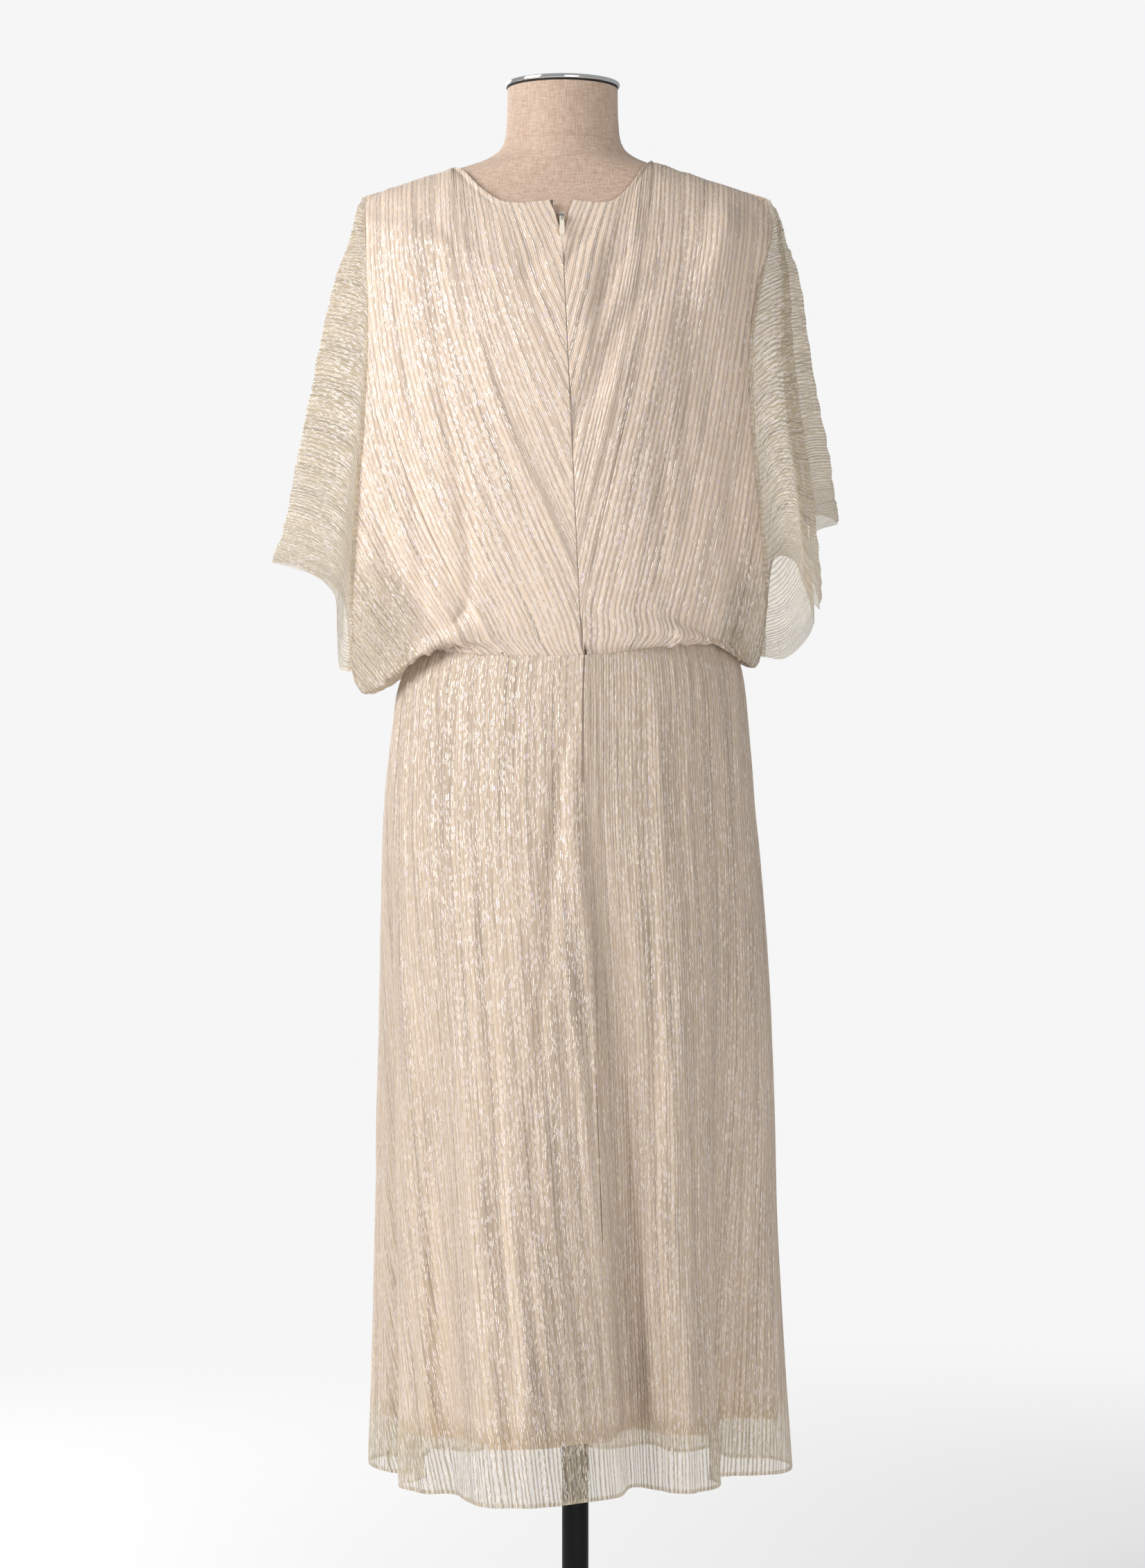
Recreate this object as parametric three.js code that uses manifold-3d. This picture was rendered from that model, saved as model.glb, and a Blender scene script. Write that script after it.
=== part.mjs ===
// A plisse midi dress with draped sleeves, on a limbless dress form with a pole and a round base.
// Millimetres, +Z up. The origin is on the floor under the pole, -Y is the dress's centre back,
// +X is the wearer's right.
import * as THREE from "three";
import { mergeVertices } from "three/addons/utils/BufferGeometryUtils.js";
import Module from "manifold-3d";

// Driving sizes
const CLOTH_WALL = 1.2; // thickness of the dress cloth between pleats
const LINING_WALL = 1.0;
const SEAM_GAP = 0.3; // between two pieces that are sewn together
const REST_GAP = 0.5; // between the cloth and the shoulders that carry it
const DRAPE_GAP = 4.4; // least space where the cloth turns over the form
const BLOUSE_GAP = 6.2; // from the skirt's cloth to the middle of the cloth that hangs over it
const PLEAT_HEIGHT = 1.0; // a pleat's ridge above the wall
const GATHER_HEIGHT = 3; // a gather's ridge at the waist seam
const FORM_X = -12; // the form's neck stands this far beside the pole's axis
const WAIST_Z = 1018; // the waist seam at the middle
const WAIST_TILT = 0.045; // it rises to the wearer's right
const WAIST_CURVE = 0.00075; // and towards both sides
const HEM_Z = 249;
const LINING_HEM_Z = 300;
const SHOULDER_Z = 1481; // the shoulder seam where the wider side of the neckline meets it
const SHOULDER_REACH = 103; // how far from the neck's middle that is
const SHOULDER_SLOPE = 0.313;
const BACK_NECK_Z = 1439;
const FRONT_NECK_Z = 1396;
const ZIP_END_Z = 900;
const ZIP_WIDTH = 5;
const ZIP_THICK = 1.2;
const ZIP_GAP = 0.65; // from the panels' inner face to the tape, whose edges the panels bend over
const ZIP_TOP_LEVEL = 0.3; // by the bodice's levels
const SLIDER_LEVEL = 0.45;
const POLE_RADIUS = 12.5;
const BASE_RADIUS = 170;
const BASE_THICK = 8;
const FORM_FOOT_Z = 790;
const FORM_TOP_Z = 1558;
const CAP_THICK = 4;
const CAP_RADIUS = 54;

// How cloth is moved out of the form: from a core this far below it, by this share of the way,
// at most so often
const CORE_DROP = 30;
const CORE_STEP = 0.01;
const CORE_TRIES = 150;
const SMALL_RUN = 2; // steps for the skirt's outward directions
const SMALL_SHARE = 0.01;

// How many pleats and steps each piece has
const SLEEVE_ROWS_PER_LEVEL = 4; // two pleats between two of the bodice's levels
const SLEEVE_STEPS = 14;
const BACK_PLEATS = 16;
const FRONT_PLEATS = 24;
const FORM_STEPS = 36;

// The form from its foot to its neck: half width, half depth, where its middle lies, and its
// taper, which is 0.5 on an ellipse and more where the shoulder narrows to a ridge
const FORM_RINGS = [
  { z: 790, width: 146, depth: 100, x: 0, y: 2, taper: 0.5 },
  { z: 860, width: 158, depth: 104, x: -1, y: 1, taper: 0.5 },
  { z: 940, width: 148, depth: 100, x: -3, y: 2, taper: 0.5 },
  { z: 1022, width: 122, depth: 92, x: -5, y: 4, taper: 0.5 },
  { z: 1100, width: 130, depth: 97, x: -7, y: 6, taper: 0.5 },
  { z: 1200, width: 147, depth: 112, x: -9, y: 8, taper: 0.5 },
  { z: 1290, width: 154, depth: 104, x: -10, y: 2, taper: 0.5 },
  { z: 1350, width: 168, depth: 91, x: -11, y: -4, taper: 0.5 },
  { z: 1400, width: 184, depth: 76, x: -12, y: -6, taper: 0.52 },
  { z: 1428, width: 189, depth: 64, x: -12, y: -5, taper: 0.58 },
  { z: 1444, width: 186, depth: 57, x: -12, y: -4, taper: 0.66 },
  { z: 1455, width: 174, depth: 54, x: -12, y: -3, taper: 0.72 },
  { z: 1465.2, width: 149, depth: 54, x: -12, y: -2, taper: 0.76 },
  { z: 1473.2, width: 124, depth: 54.5, x: -12, y: -2, taper: 0.78 },
  { z: 1480.4, width: 101, depth: 55, x: -12, y: -2, taper: 0.78 },
  { z: 1487.9, width: 77, depth: 54, x: -12, y: -1, taper: 0.72 },
  { z: 1496, width: 62, depth: 53, x: -12, y: 0, taper: 0.6 },
  { z: 1506, width: 55.5, depth: 52.5, x: -12, y: 0, taper: 0.52 },
  { z: 1522, width: 53, depth: 52, x: -12, y: 0, taper: 0.5 },
  { z: 1558, width: 52, depth: 52, x: -12, y: 0, taper: 0.5 },
];

const SKIRT_TOP_Z = 1022; // the ring that the waist seam's curve is set on

// The skirt without its folds, from the hem up to the waist
const SKIRT_RINGS = [
  { z: 249, width: 176, depth: 148, x: -7, y: 0 },
  { z: 468, width: 178, depth: 141, x: -6, y: 0 },
  { z: 573, width: 180.5, depth: 138, x: -3.5, y: 0 },
  { z: 678, width: 180.5, depth: 134, x: -3, y: 0 },
  { z: 783, width: 178.5, depth: 129, x: -4.5, y: 0 },
  { z: 862, width: 174.5, depth: 125, x: -6, y: 1 },
  { z: 940, width: 168.5, depth: 120, x: -5, y: 1 },
  { z: 992, width: 161, depth: 114, x: -4, y: 2 },
  { z: 1022, width: 148, depth: 109, x: -2, y: 2 },
];

// The skirt's folds at the hem, ridge by valley, from the centre back round by the wearer's right.
// turn is where the fold starts at the hip, in degrees from the centre back.
const HEM_FOLDS = [
  { turn: 4, x: 40, y: -120 },
  { turn: 11, x: 57, y: -72 },
  { turn: 20, x: 84, y: -98 },
  { turn: 28, x: 108, y: -103 },
  { turn: 40, x: 135, y: -64 },
  { turn: 51, x: 128, y: -24 },
  { turn: 62, x: 166, y: -14 },
  { turn: 76, x: 196, y: -2 },
  { turn: 90, x: 207, y: 32 },
  { turn: 101, x: 190, y: 74 },
  { turn: 112, x: 150, y: 84 },
  { turn: 124, x: 134, y: 132 },
  { turn: 136, x: 98, y: 112 },
  { turn: 149, x: 74, y: 154 },
  { turn: 161, x: 30, y: 126 },
  { turn: 174, x: 0, y: 160 },
  { turn: 187, x: -40, y: 128 },
  { turn: 199, x: -72, y: 156 },
  { turn: 212, x: -100, y: 112 },
  { turn: 225, x: -138, y: 130 },
  { turn: 237, x: -150, y: 82 },
  { turn: 250, x: -188, y: 86 },
  { turn: 262, x: -198, y: 50 },
  { turn: 274, x: -178, y: 6 },
  { turn: 284, x: -142, y: -18 },
  { turn: 296, x: -164, y: -66 },
  { turn: 307, x: -138, y: -103 },
  { turn: 315, x: -112, y: -108 },
  { turn: 323, x: -99, y: -138 },
  { turn: 331, x: -82, y: -167 },
  { turn: 342, x: -38, y: -172 },
  { turn: 354, x: 6, y: -146 },
  { turn: 364, x: 40, y: -120 },
];
const RIGHT_SEAM = 8; // the row of HEM_FOLDS at each side seam
const LEFT_SEAM = 23;
const FOLD_TOP_Z = 930; // the folds start here and deepen to the hem
const FOLD_POWER = 1.4;

// The bodice's sections. A level is a line round the body: 0 is the neckline and shoulder seam,
// 8 the underarm, 9 the lowest line of the blousing, 11 its rise over the seam, 12 the waist seam.
const WAIST_LEVEL = 12;
const UNDERARM_LEVEL = 8;
const MIDDLE = [
  { level: 1, backZ: 1400, backY: -89, frontZ: 1372, frontY: 88 },
  { level: 2, backZ: 1366, backY: -103, frontZ: 1340, frontY: 107 },
  { level: 3, backZ: 1310, backY: -115, frontZ: 1298, frontY: 122 },
  { level: 4, backZ: 1240, backY: -121, frontZ: 1235, frontY: 132 },
  { level: 5, backZ: 1165, backY: -122, frontZ: 1165, frontY: 132 },
  { level: 6, backZ: 1110, backY: -120, frontZ: 1110, frontY: 126 },
  { level: 7, backZ: 1078, backY: -118, frontZ: 1078, frontY: 122 },
  { level: 8, backZ: 1060, backY: -116, frontZ: 1060, frontY: 119 },
  { level: 9, backZ: 1047, backY: -114, frontZ: 1047, frontY: 117 },
  { level: 10, backZ: 1036, backY: -112, frontZ: 1036, frontY: 115 },
  { level: 11, backZ: 1027, backY: -110, frontZ: 1027, frontY: 113 },
];
const SIDES = {
  left: [
    { level: 1, x: -197, z: 1428, backY: -28, frontY: 20 },
    { level: 2, x: -195, z: 1388, backY: -40, frontY: 32 },
    { level: 3, x: -193, z: 1322, backY: -46, frontY: 42 },
    { level: 4, x: -196, z: 1246, backY: -50, frontY: 48 },
    { level: 5, x: -202, z: 1168, backY: -50, frontY: 48 },
    { level: 6, x: -206, z: 1100, backY: -46, frontY: 44 },
    { level: 7, x: -209, z: 1046, backY: -32, frontY: 32 },
    { level: 8, x: -211, z: 1006, backY: 0, frontY: 0 },
    { level: 9, x: -196, z: 986, backY: 0, frontY: 0 },
    { level: 10, x: -171, z: 1008, backY: 0, frontY: 0 },
    { level: 11, x: -156, z: 1036, backY: 0, frontY: 0 },
  ],
  right: [
    { level: 1, x: 184, z: 1424, backY: -28, frontY: 20 },
    { level: 2, x: 176, z: 1388, backY: -40, frontY: 32 },
    { level: 3, x: 163, z: 1322, backY: -48, frontY: 44 },
    { level: 4, x: 163, z: 1240, backY: -52, frontY: 50 },
    { level: 5, x: 170, z: 1165, backY: -52, frontY: 50 },
    { level: 6, x: 176, z: 1098, backY: -48, frontY: 46 },
    { level: 7, x: 178, z: 1050, backY: -34, frontY: 34 },
    { level: 8, x: 175, z: 1020, backY: 0, frontY: 0 },
    { level: 9, x: 169, z: 1011, backY: 0, frontY: 0 },
    { level: 10, x: 164, z: 1027, backY: 0, frontY: 0 },
    { level: 11, x: 154, z: 1049, backY: 0, frontY: 0 },
  ],
};
const LEVELS = [0, 0.05, 0.14, 0.3, 0.58, 1, 2, 3, 4, 5, 6, 7, 8, 9, 10, 11, 12];

// The neckline on each side of the neck's middle, and how the cloth opens above the zip
const NECK_REACH = { left: 103, right: 84 };
const SHOULDER_TIP = { left: 186, right: 193 };
const NECK_CURVE = [
  { share: 0, rise: 0.05 },
  { share: 0.2, rise: 0.02 },
  { share: 0.35, rise: 0 },
  { share: 0.53, rise: 0.08 },
  { share: 0.72, rise: 0.4 },
  { share: 0.9, rise: 0.84 },
  { share: 1, rise: 1 },
];
const FRONT_NECK_POWER = 2.2;
const NECK_EASE = 3; // the neckline's space from the form at the middle, over that at the shoulder
const NECK_EASE_POWER = 0.2;
const ZIP_FLARE = 10; // half the opening at the neckline
const ZIP_FLARE_POWER = 1.4;

// The back's largest soft folds. across runs from the zip, 0, to the side, 1.
const BACK_FOLDS = [
  { side: "right", across: 0.26, level: 0.5, toAcross: 0.1, toLevel: 3.6, width: 0.045, depth: 7 },
  { side: "right", across: 0.07, level: 4.2, toAcross: 0.22, toLevel: 3.2, width: 0.04, depth: 5 },
  { side: "right", across: 0.78, level: 0.8, toAcross: 0.72, toLevel: 3, width: 0.06, depth: 6 },
  { side: "left", across: 0.14, level: 0.6, toAcross: 0.1, toLevel: 2, width: 0.05, depth: 4 },
  { side: "left", across: 0.5, level: 4, toAcross: 0.56, toLevel: 8, width: 0.05, depth: 7 },
];

// Each sleeve's hem, measured from the underarm point, from the back seam round to the front seam
const SLEEVE_HEMS = {
  left: [
    { share: 0, x: 0, y: 0, z: 0 },
    { share: 0.08, x: -4, y: -18, z: 53 },
    { share: 0.2, x: -15, y: -34, z: 78 },
    { share: 0.35, x: -49, y: -24, z: 95 },
    { share: 0.5, x: -76, y: 2, z: 103 },
    { share: 0.65, x: -50, y: 34, z: 100 },
    { share: 0.77, x: -19, y: 44, z: 72 },
    { share: 0.86, x: -15, y: 29, z: 30 },
    { share: 0.94, x: -12, y: 9, z: 2 },
    { share: 1, x: 0, y: 0, z: 0 },
  ],
  right: [
    { share: 0, x: 0, y: 0, z: 0 },
    { share: 0.08, x: 8, y: -22, z: 84 },
    { share: 0.17, x: 28, y: -48, z: 88 },
    { share: 0.25, x: 36, y: -60, z: 66 },
    { share: 0.34, x: 52, y: -58, z: 42 },
    { share: 0.42, x: 44, y: -30, z: 84 },
    { share: 0.51, x: 50, y: -4, z: 116 },
    { share: 0.6, x: 74, y: 14, z: 127 },
    { share: 0.69, x: 50, y: 42, z: 134 },
    { share: 0.79, x: 44, y: 54, z: 76 },
    { share: 0.86, x: 53, y: 44, z: 32 },
    { share: 0.93, x: 27, y: 16, z: 0 },
    { share: 1, x: 0, y: 0, z: 0 },
  ],
};
// How much of its hem's spread a sleeve has, down its length
const SLEEVE_GROWTH = [
  { share: 0, left: 0, right: 0 },
  { share: 0.05, left: 0.18, right: 0.1 },
  { share: 0.14, left: 0.37, right: 0.42 },
  { share: 0.25, left: 0.54, right: 0.69 },
  { share: 0.45, left: 0.71, right: 0.88 },
  { share: 0.7, left: 0.82, right: 0.95 },
  { share: 0.85, left: 0.88, right: 0.94 },
  { share: 1, left: 1, right: 1 },
];
const SLEEVE_TOP_LEVELS = [0.3, 0.58]; // its first rows, and its last, by the bodice's levels
const SLEEVE_END_LEVEL = 7.85;
const SLEEVE_CROWN = 2; // how far its first row stands out over the shoulder's end

const { lerp, smoothstep, degToRad } = THREE.MathUtils;
const handOf = (side) => (side === "left" ? -1 : 1);

// A smooth curve through one column of a table, read at any value of another column.
function reader(table, key, column, loop = false) {
  const xs = table.map((row) => row[key]);
  const ys = table.map((row) => row[column]);
  const last = xs.length - 1;
  const secant = (k) => (ys[k + 1] - ys[k]) / (xs[k + 1] - xs[k]);
  const slopes = xs.map((_, k) => {
    if (loop && k % last === 0) return (secant(0) + secant(last - 1)) / 2;
    if (k === 0) return secant(0);
    if (k === last) return secant(last - 1);
    return (secant(k - 1) + secant(k)) / 2;
  });
  return (value) => {
    const x = Math.min(Math.max(value, xs[0]), xs[last]);
    let k = 0;
    while (k < last - 1 && x > xs[k + 1]) k += 1;
    const step = xs[k + 1] - xs[k];
    const t = (x - xs[k]) / step;
    const rest = 1 - t;
    return (
      ys[k] * (1 + 2 * t) * rest * rest +
      slopes[k] * step * t * rest * rest +
      ys[k + 1] * t * t * (3 - 2 * t) -
      slopes[k + 1] * step * t * t * rest
    );
  };
}

// Readers for all of a table's columns at once, as one function that gives a row.
function rowReader(table, key, loop = false) {
  const columns = Object.keys(table[0]).filter((name) => name !== key);
  const readers = columns.map((name) => reader(table, key, name, loop));
  return (value) => Object.fromEntries(columns.map((name, k) => [name, readers[k](value)]));
}

// The same for points given at whole levels 0, 1, 2 and so on.
function throughPoints(points) {
  const rows = points.map((p, level) => ({ level, x: p.x, y: p.y, z: p.z }));
  const read = rowReader(rows, "level");
  return (level) => {
    const row = read(level);
    return new THREE.Vector3(row.x, row.y, row.z);
  };
}

// The form
const formRing = rowReader(FORM_RINGS, "z");

// How far the form, grown by a gap, reaches behind or in front of its middle at a place across.
function formReachAt(x, z, gap) {
  const ring = formRing(z - gap);
  const across = (x - ring.x) / (ring.width + gap);
  if (Math.abs(across) >= 1) return { middle: ring.y, reach: 0 };
  return { middle: ring.y, reach: (ring.depth + gap) * (1 - across * across) ** ring.taper };
}

// The same sideways, for the sleeves.
function formSideAt(y, z, gap) {
  const ring = formRing(z - gap);
  const along = Math.abs((y - ring.y) / (ring.depth + gap));
  if (along >= 1) return { middle: ring.x, reach: 0 };
  const reach = (ring.width + gap) * Math.sqrt(1 - along ** (1 / ring.taper));
  return { middle: ring.x, reach };
}

// The skirt
const skirtRing = rowReader(SKIRT_RINGS, "z");

function waistZ(x) {
  return WAIST_Z + WAIST_TILT * x + WAIST_CURVE * x * x;
}

function skirtRingPoint(z, turn) {
  const ring = skirtRing(z);
  const angle = degToRad(turn);
  return new THREE.Vector3(
    ring.x + ring.width * Math.sin(angle),
    ring.y - ring.depth * Math.cos(angle),
    z,
  );
}

// The hem as a curve over its own length, with the turn that each place has at the hip.
function hemCurve() {
  let run = 0;
  const rows = HEM_FOLDS.map((fold, k) => {
    const before = HEM_FOLDS[Math.max(k - 1, 0)];
    run += Math.hypot(fold.x - before.x, fold.y - before.y);
    return { run, turn: fold.turn, x: fold.x, y: fold.y };
  });
  return { read: rowReader(rows, "run", true), runs: rows.map((row) => row.run) };
}
const hem = hemCurve();
const hemLength = hem.runs[hem.runs.length - 1];

function hemAt(run) {
  return hem.read((run + hemLength) % hemLength);
}

// A point of the skirt: run is the place along the hem, share goes from the waist, 0, to foot, 1.
function skirtPoint(run, share, foot) {
  const fold = hemAt(run);
  const topZ = waistZ(skirtRingPoint(SKIRT_TOP_Z, fold.turn).x) - SEAM_GAP / 2;
  const z = lerp(topZ, foot, share);
  const nominal = lerp(SKIRT_TOP_Z, foot, share);
  const plain = skirtRingPoint(nominal, fold.turn);
  const depth = Math.max(0, (FOLD_TOP_Z - nominal) / (FOLD_TOP_Z - HEM_Z)) ** FOLD_POWER;
  return new THREE.Vector3(lerp(plain.x, fold.x, depth), lerp(plain.y, fold.y, depth), z);
}

// The skirt's outward direction there, from points a small step apart.
function skirtNormal(run, share, foot) {
  const low = Math.max(share - SMALL_SHARE, 0);
  const high = Math.min(share + SMALL_SHARE, 1);
  const across = skirtPoint(run + SMALL_RUN, share, foot);
  across.sub(skirtPoint(run - SMALL_RUN, share, foot));
  const down = skirtPoint(run, high, foot).sub(skirtPoint(run, low, foot));
  return down.cross(across).normalize();
}

// The bodice
const middle = rowReader(MIDDLE, "level");
const sideReaders = {
  left: rowReader(SIDES.left, "level"),
  right: rowReader(SIDES.right, "level"),
};
const neckRise = reader(NECK_CURVE, "share", "rise");
const zipOpening = (level) => ZIP_FLARE * Math.max(0, 1 - level) ** ZIP_FLARE_POWER;
const CENTRE_TOP = { x: -13, z: 1433 };
const CENTRE_WAIST = { x: 6, z: 1018 };

function centreX(z) {
  const share = (CENTRE_TOP.z - z) / (CENTRE_TOP.z - CENTRE_WAIST.z);
  return lerp(CENTRE_TOP.x, CENTRE_WAIST.x, share);
}

// Moves a point out of the form, on the back, face -1, or the front, face 1, along the line from
// a place inside the form below it.
function clearOfForm(point, face, gap) {
  const core = { y: formRing(point.z).y, z: point.z - CORE_DROP };
  for (let step = 0; step < CORE_TRIES; step += 1) {
    const form = formReachAt(point.x, point.z, gap);
    if (form.reach === 0 || face * (point.y - form.middle) >= form.reach) return;
    point.y += (point.y - core.y) * CORE_STEP;
    point.z += (point.z - core.z) * CORE_STEP;
  }
}

// Keeps the blousing's underside clear of the skirt that it hangs over.
function clearOfSkirt(point) {
  const below = waistZ(point.x) - point.z;
  const ring = skirtRing(SKIRT_TOP_Z - below);
  const x = (point.x - ring.x) / (ring.width + BLOUSE_GAP);
  const y = (point.y - ring.y) / (ring.depth + BLOUSE_GAP);
  const inside = Math.hypot(x, y);
  if (below < 0 || inside >= 1) return;
  point.x = ring.x + (point.x - ring.x) / inside;
  point.y = ring.y + (point.y - ring.y) / inside;
}

// The neckline and the shoulder seam, across from the middle, 0, to the shoulder's end, 1.
function topPoint(side, face, across) {
  const hand = handOf(side);
  const from = face < 0 ? (CENTRE_TOP.x - FORM_X) * hand : 0;
  const neckReach = NECK_REACH[side];
  const tipReach = SHOULDER_TIP[side];
  const corner = Math.min((across * tipReach) / neckReach, 1);
  const neck = lerp(from, neckReach, Math.sin((corner * Math.PI) / 2));
  const reach = corner < 1 ? neck : across * tipReach;
  const x = FORM_X + hand * reach;
  const seamZ = (at) => SHOULDER_Z - SHOULDER_SLOPE * (at - SHOULDER_REACH);
  if (reach >= neckReach) return new THREE.Vector3(x, formRing(seamZ(reach)).y, seamZ(reach));
  const share = Math.abs(reach) / neckReach;
  const low = face < 0 ? BACK_NECK_Z : FRONT_NECK_Z;
  const rise = face < 0 ? neckRise(share) : share ** FRONT_NECK_POWER;
  const z = lerp(low, seamZ(neckReach), rise);
  const gap = REST_GAP + CLOTH_WALL / 2 + NECK_EASE * (1 - share) ** NECK_EASE_POWER;
  const form = formReachAt(x, z, gap);
  return new THREE.Vector3(x, form.middle + face * form.reach, z);
}

// The curve down the cloth at one place across, as points at the whole levels.
function columnPoints(side, face, across) {
  const hand = handOf(side);
  const angle = (across * Math.PI) / 2;
  const cosine = across === 1 ? 0 : Math.cos(angle);
  const points = [topPoint(side, face, across)];
  const ease = smoothstep(across, 0.25, 0.95);
  const bow = 1 - across * across;
  for (let level = 1; level < WAIST_LEVEL; level += 1) {
    const mid = middle(level);
    const edge = sideReaders[side](level);
    const midZ = face < 0 ? mid.backZ : mid.frontZ;
    const midY = face < 0 ? mid.backY : mid.frontY;
    const edgeY = face < 0 ? edge.backY : edge.frontY;
    const midX = face < 0 ? centreX(midZ) : lerp(FORM_X, 0, level / WAIST_LEVEL);
    const round = smoothstep(level, 6.5, 10);
    points.push(
      new THREE.Vector3(
        lerp(midX, edge.x, lerp(across, Math.sin(angle), round)),
        lerp(edgeY, midY, lerp(bow, cosine, round)),
        lerp(midZ, edge.z, ease),
      ),
    );
  }
  const turn = lerp(face < 0 ? HEM_FOLDS[0].turn : 180 * hand, 90 * hand, across);
  const waist = skirtRingPoint(SKIRT_TOP_Z, turn);
  waist.z = waistZ(waist.x) + SEAM_GAP;
  points.push(waist);
  return points;
}

function foldDepth(side, across, level) {
  let depth = 0;
  for (const fold of BACK_FOLDS.filter((row) => row.side === side)) {
    const span = fold.toLevel - fold.level;
    const share = (level - fold.level) / span;
    const off = (across - lerp(fold.across, fold.toAcross, share)) / fold.width;
    const ends = smoothstep(share, -0.25, 0.2) * (1 - smoothstep(share, 0.75, 1.3));
    depth += fold.depth * ends * Math.exp(-off * off);
  }
  return depth;
}

// One half of the bodice's back or front as a grid of points, from the middle to the side.
function bodiceGrid(side, face, columns, levels) {
  const hand = handOf(side);
  const grid = [];
  for (let i = 0; i <= columns; i += 1) {
    const across = i / columns;
    const curve = throughPoints(columnPoints(side, face, across));
    grid.push(
      levels.map((level) => {
        const point = curve(level);
        if (face < 0) {
          point.y += foldDepth(side, across, level);
          point.x += hand * zipOpening(level) * (1 - across) ** 4;
        }
        if (level > 0 && level < WAIST_LEVEL) {
          const gap = REST_GAP + CLOTH_WALL / 2 + DRAPE_GAP * smoothstep(level, 0, 0.12);
          clearOfForm(point, face, gap);
          if (level > UNDERARM_LEVEL && across < 1) clearOfSkirt(point);
        }
        return point;
      }),
    );
  }
  return grid;
}

// Normals of a grid of points, pointing away from the body's middle.
function gridNormals(grid, outward) {
  const columns = grid.length - 1;
  const rows = grid[0].length - 1;
  return grid.map((column, i) =>
    column.map((point, j) => {
      const across = grid[Math.min(i + 1, columns)][j].clone().sub(grid[Math.max(i - 1, 0)][j]);
      const down = grid[i][Math.min(j + 1, rows)].clone().sub(grid[i][Math.max(j - 1, 0)]);
      return across.cross(down).normalize().multiplyScalar(outward);
    }),
  );
}

// Where two grids share points, both get the sum of their normals, so that their edges lie flush.
function shareNormals(pieces) {
  const shared = new Map();
  const keyOf = (p) => [p.x, p.y, p.z].map((n) => n.toFixed(2)).join(" ");
  const each = (work) =>
    pieces.forEach((piece) =>
      piece.grid.forEach((column, i) =>
        column.forEach((point, j) => work(keyOf(point), piece.normals[i][j])),
      ),
    );
  each((key, normal) => {
    if (!shared.has(key)) shared.set(key, new THREE.Vector3());
    shared.get(key).add(normal);
  });
  each((key, normal) => normal.copy(shared.get(key)).normalize());
}

// Pulls a grid's edges in, square to each edge and out of the plane y = 0 of the side seams.
// An edge that lies on the waist seam's curve stays.
function setBack(grid, waistRow, inset) {
  const columns = grid.length - 1;
  const rows = grid[0].length - 1;
  const moved = grid.map((column) => column.map((point) => point.clone()));
  const pull = (i, j, inner, before, after) => {
    const along = after.clone().sub(before).normalize();
    const step = inner.clone().sub(grid[i][j]);
    step.addScaledVector(along, -step.dot(along));
    if (grid[i][j].y === 0) step.set(0, inner.y, 0);
    moved[i][j].addScaledVector(step.normalize(), inset);
  };
  for (let j = 0; j <= rows; j += 1) {
    for (const [i, inner] of [[0, 1], [columns, columns - 1]]) {
      const column = grid[i];
      pull(i, j, grid[inner][j], column[Math.max(j - 1, 0)], column[Math.min(j + 1, rows)]);
    }
  }
  for (let i = 0; i <= columns; i += 1) {
    const before = grid[Math.max(i - 1, 0)];
    const after = grid[Math.min(i + 1, columns)];
    if (waistRow !== "first") pull(i, 0, grid[i][1], before[0], after[0]);
    if (waistRow !== "last") pull(i, rows, grid[i][rows - 1], before[rows], after[rows]);
  }
  return moved;
}

// A closed wall on a grid: plain inside, with a pleat's ridge on every odd column outside.
function wallGeometry(piece) {
  const { normals, thick, ridge, waistRow, inset = SEAM_GAP / 2 } = piece;
  const grid = setBack(piece.grid, waistRow, inset);
  const step = ridge ? 2 : 1;
  const columns = grid.length - 1;
  const rows = grid[0].length - 1;
  const positions = [];
  const index = [];
  const place = (i, j, off) => {
    const point = grid[i][j].clone().addScaledVector(normals[i][j], off);
    positions.push(point.x, point.y, point.z);
    return positions.length / 3 - 1;
  };
  const outer = grid.map((column, i) =>
    column.map((_, j) => place(i, j, thick / 2 + (i % 2 && ridge ? ridge(i, j) : 0))),
  );
  const inner = grid.map((column, i) =>
    i % step ? null : column.map((_, j) => place(i, j, -thick / 2)),
  );
  const quad = (a, b, c, d) => index.push(a, b, c, a, c, d);
  for (let j = 0; j < rows; j += 1) {
    for (let i = 0; i < columns; i += 1) {
      quad(outer[i][j], outer[i][j + 1], outer[i + 1][j + 1], outer[i + 1][j]);
    }
    for (let i = 0; i < columns; i += step) {
      quad(inner[i][j], inner[i + step][j], inner[i + step][j + 1], inner[i][j + 1]);
    }
    quad(outer[0][j], inner[0][j], inner[0][j + 1], outer[0][j + 1]);
    quad(outer[columns][j], outer[columns][j + 1], inner[columns][j + 1], inner[columns][j]);
  }
  for (let i = 0; i < columns; i += step) {
    const far = i + step;
    for (let k = i; k < far; k += 1) {
      const near = k === i ? i : far;
      index.push(outer[k][0], outer[k + 1][0], inner[near][0]);
      index.push(outer[k + 1][rows], outer[k][rows], inner[near][rows]);
    }
    const crest = step === 2 ? i + 1 : far;
    index.push(outer[crest][0], inner[far][0], inner[i][0]);
    index.push(inner[far][rows], outer[crest][rows], inner[i][rows]);
  }
  return orient(positions, index);
}

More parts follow.
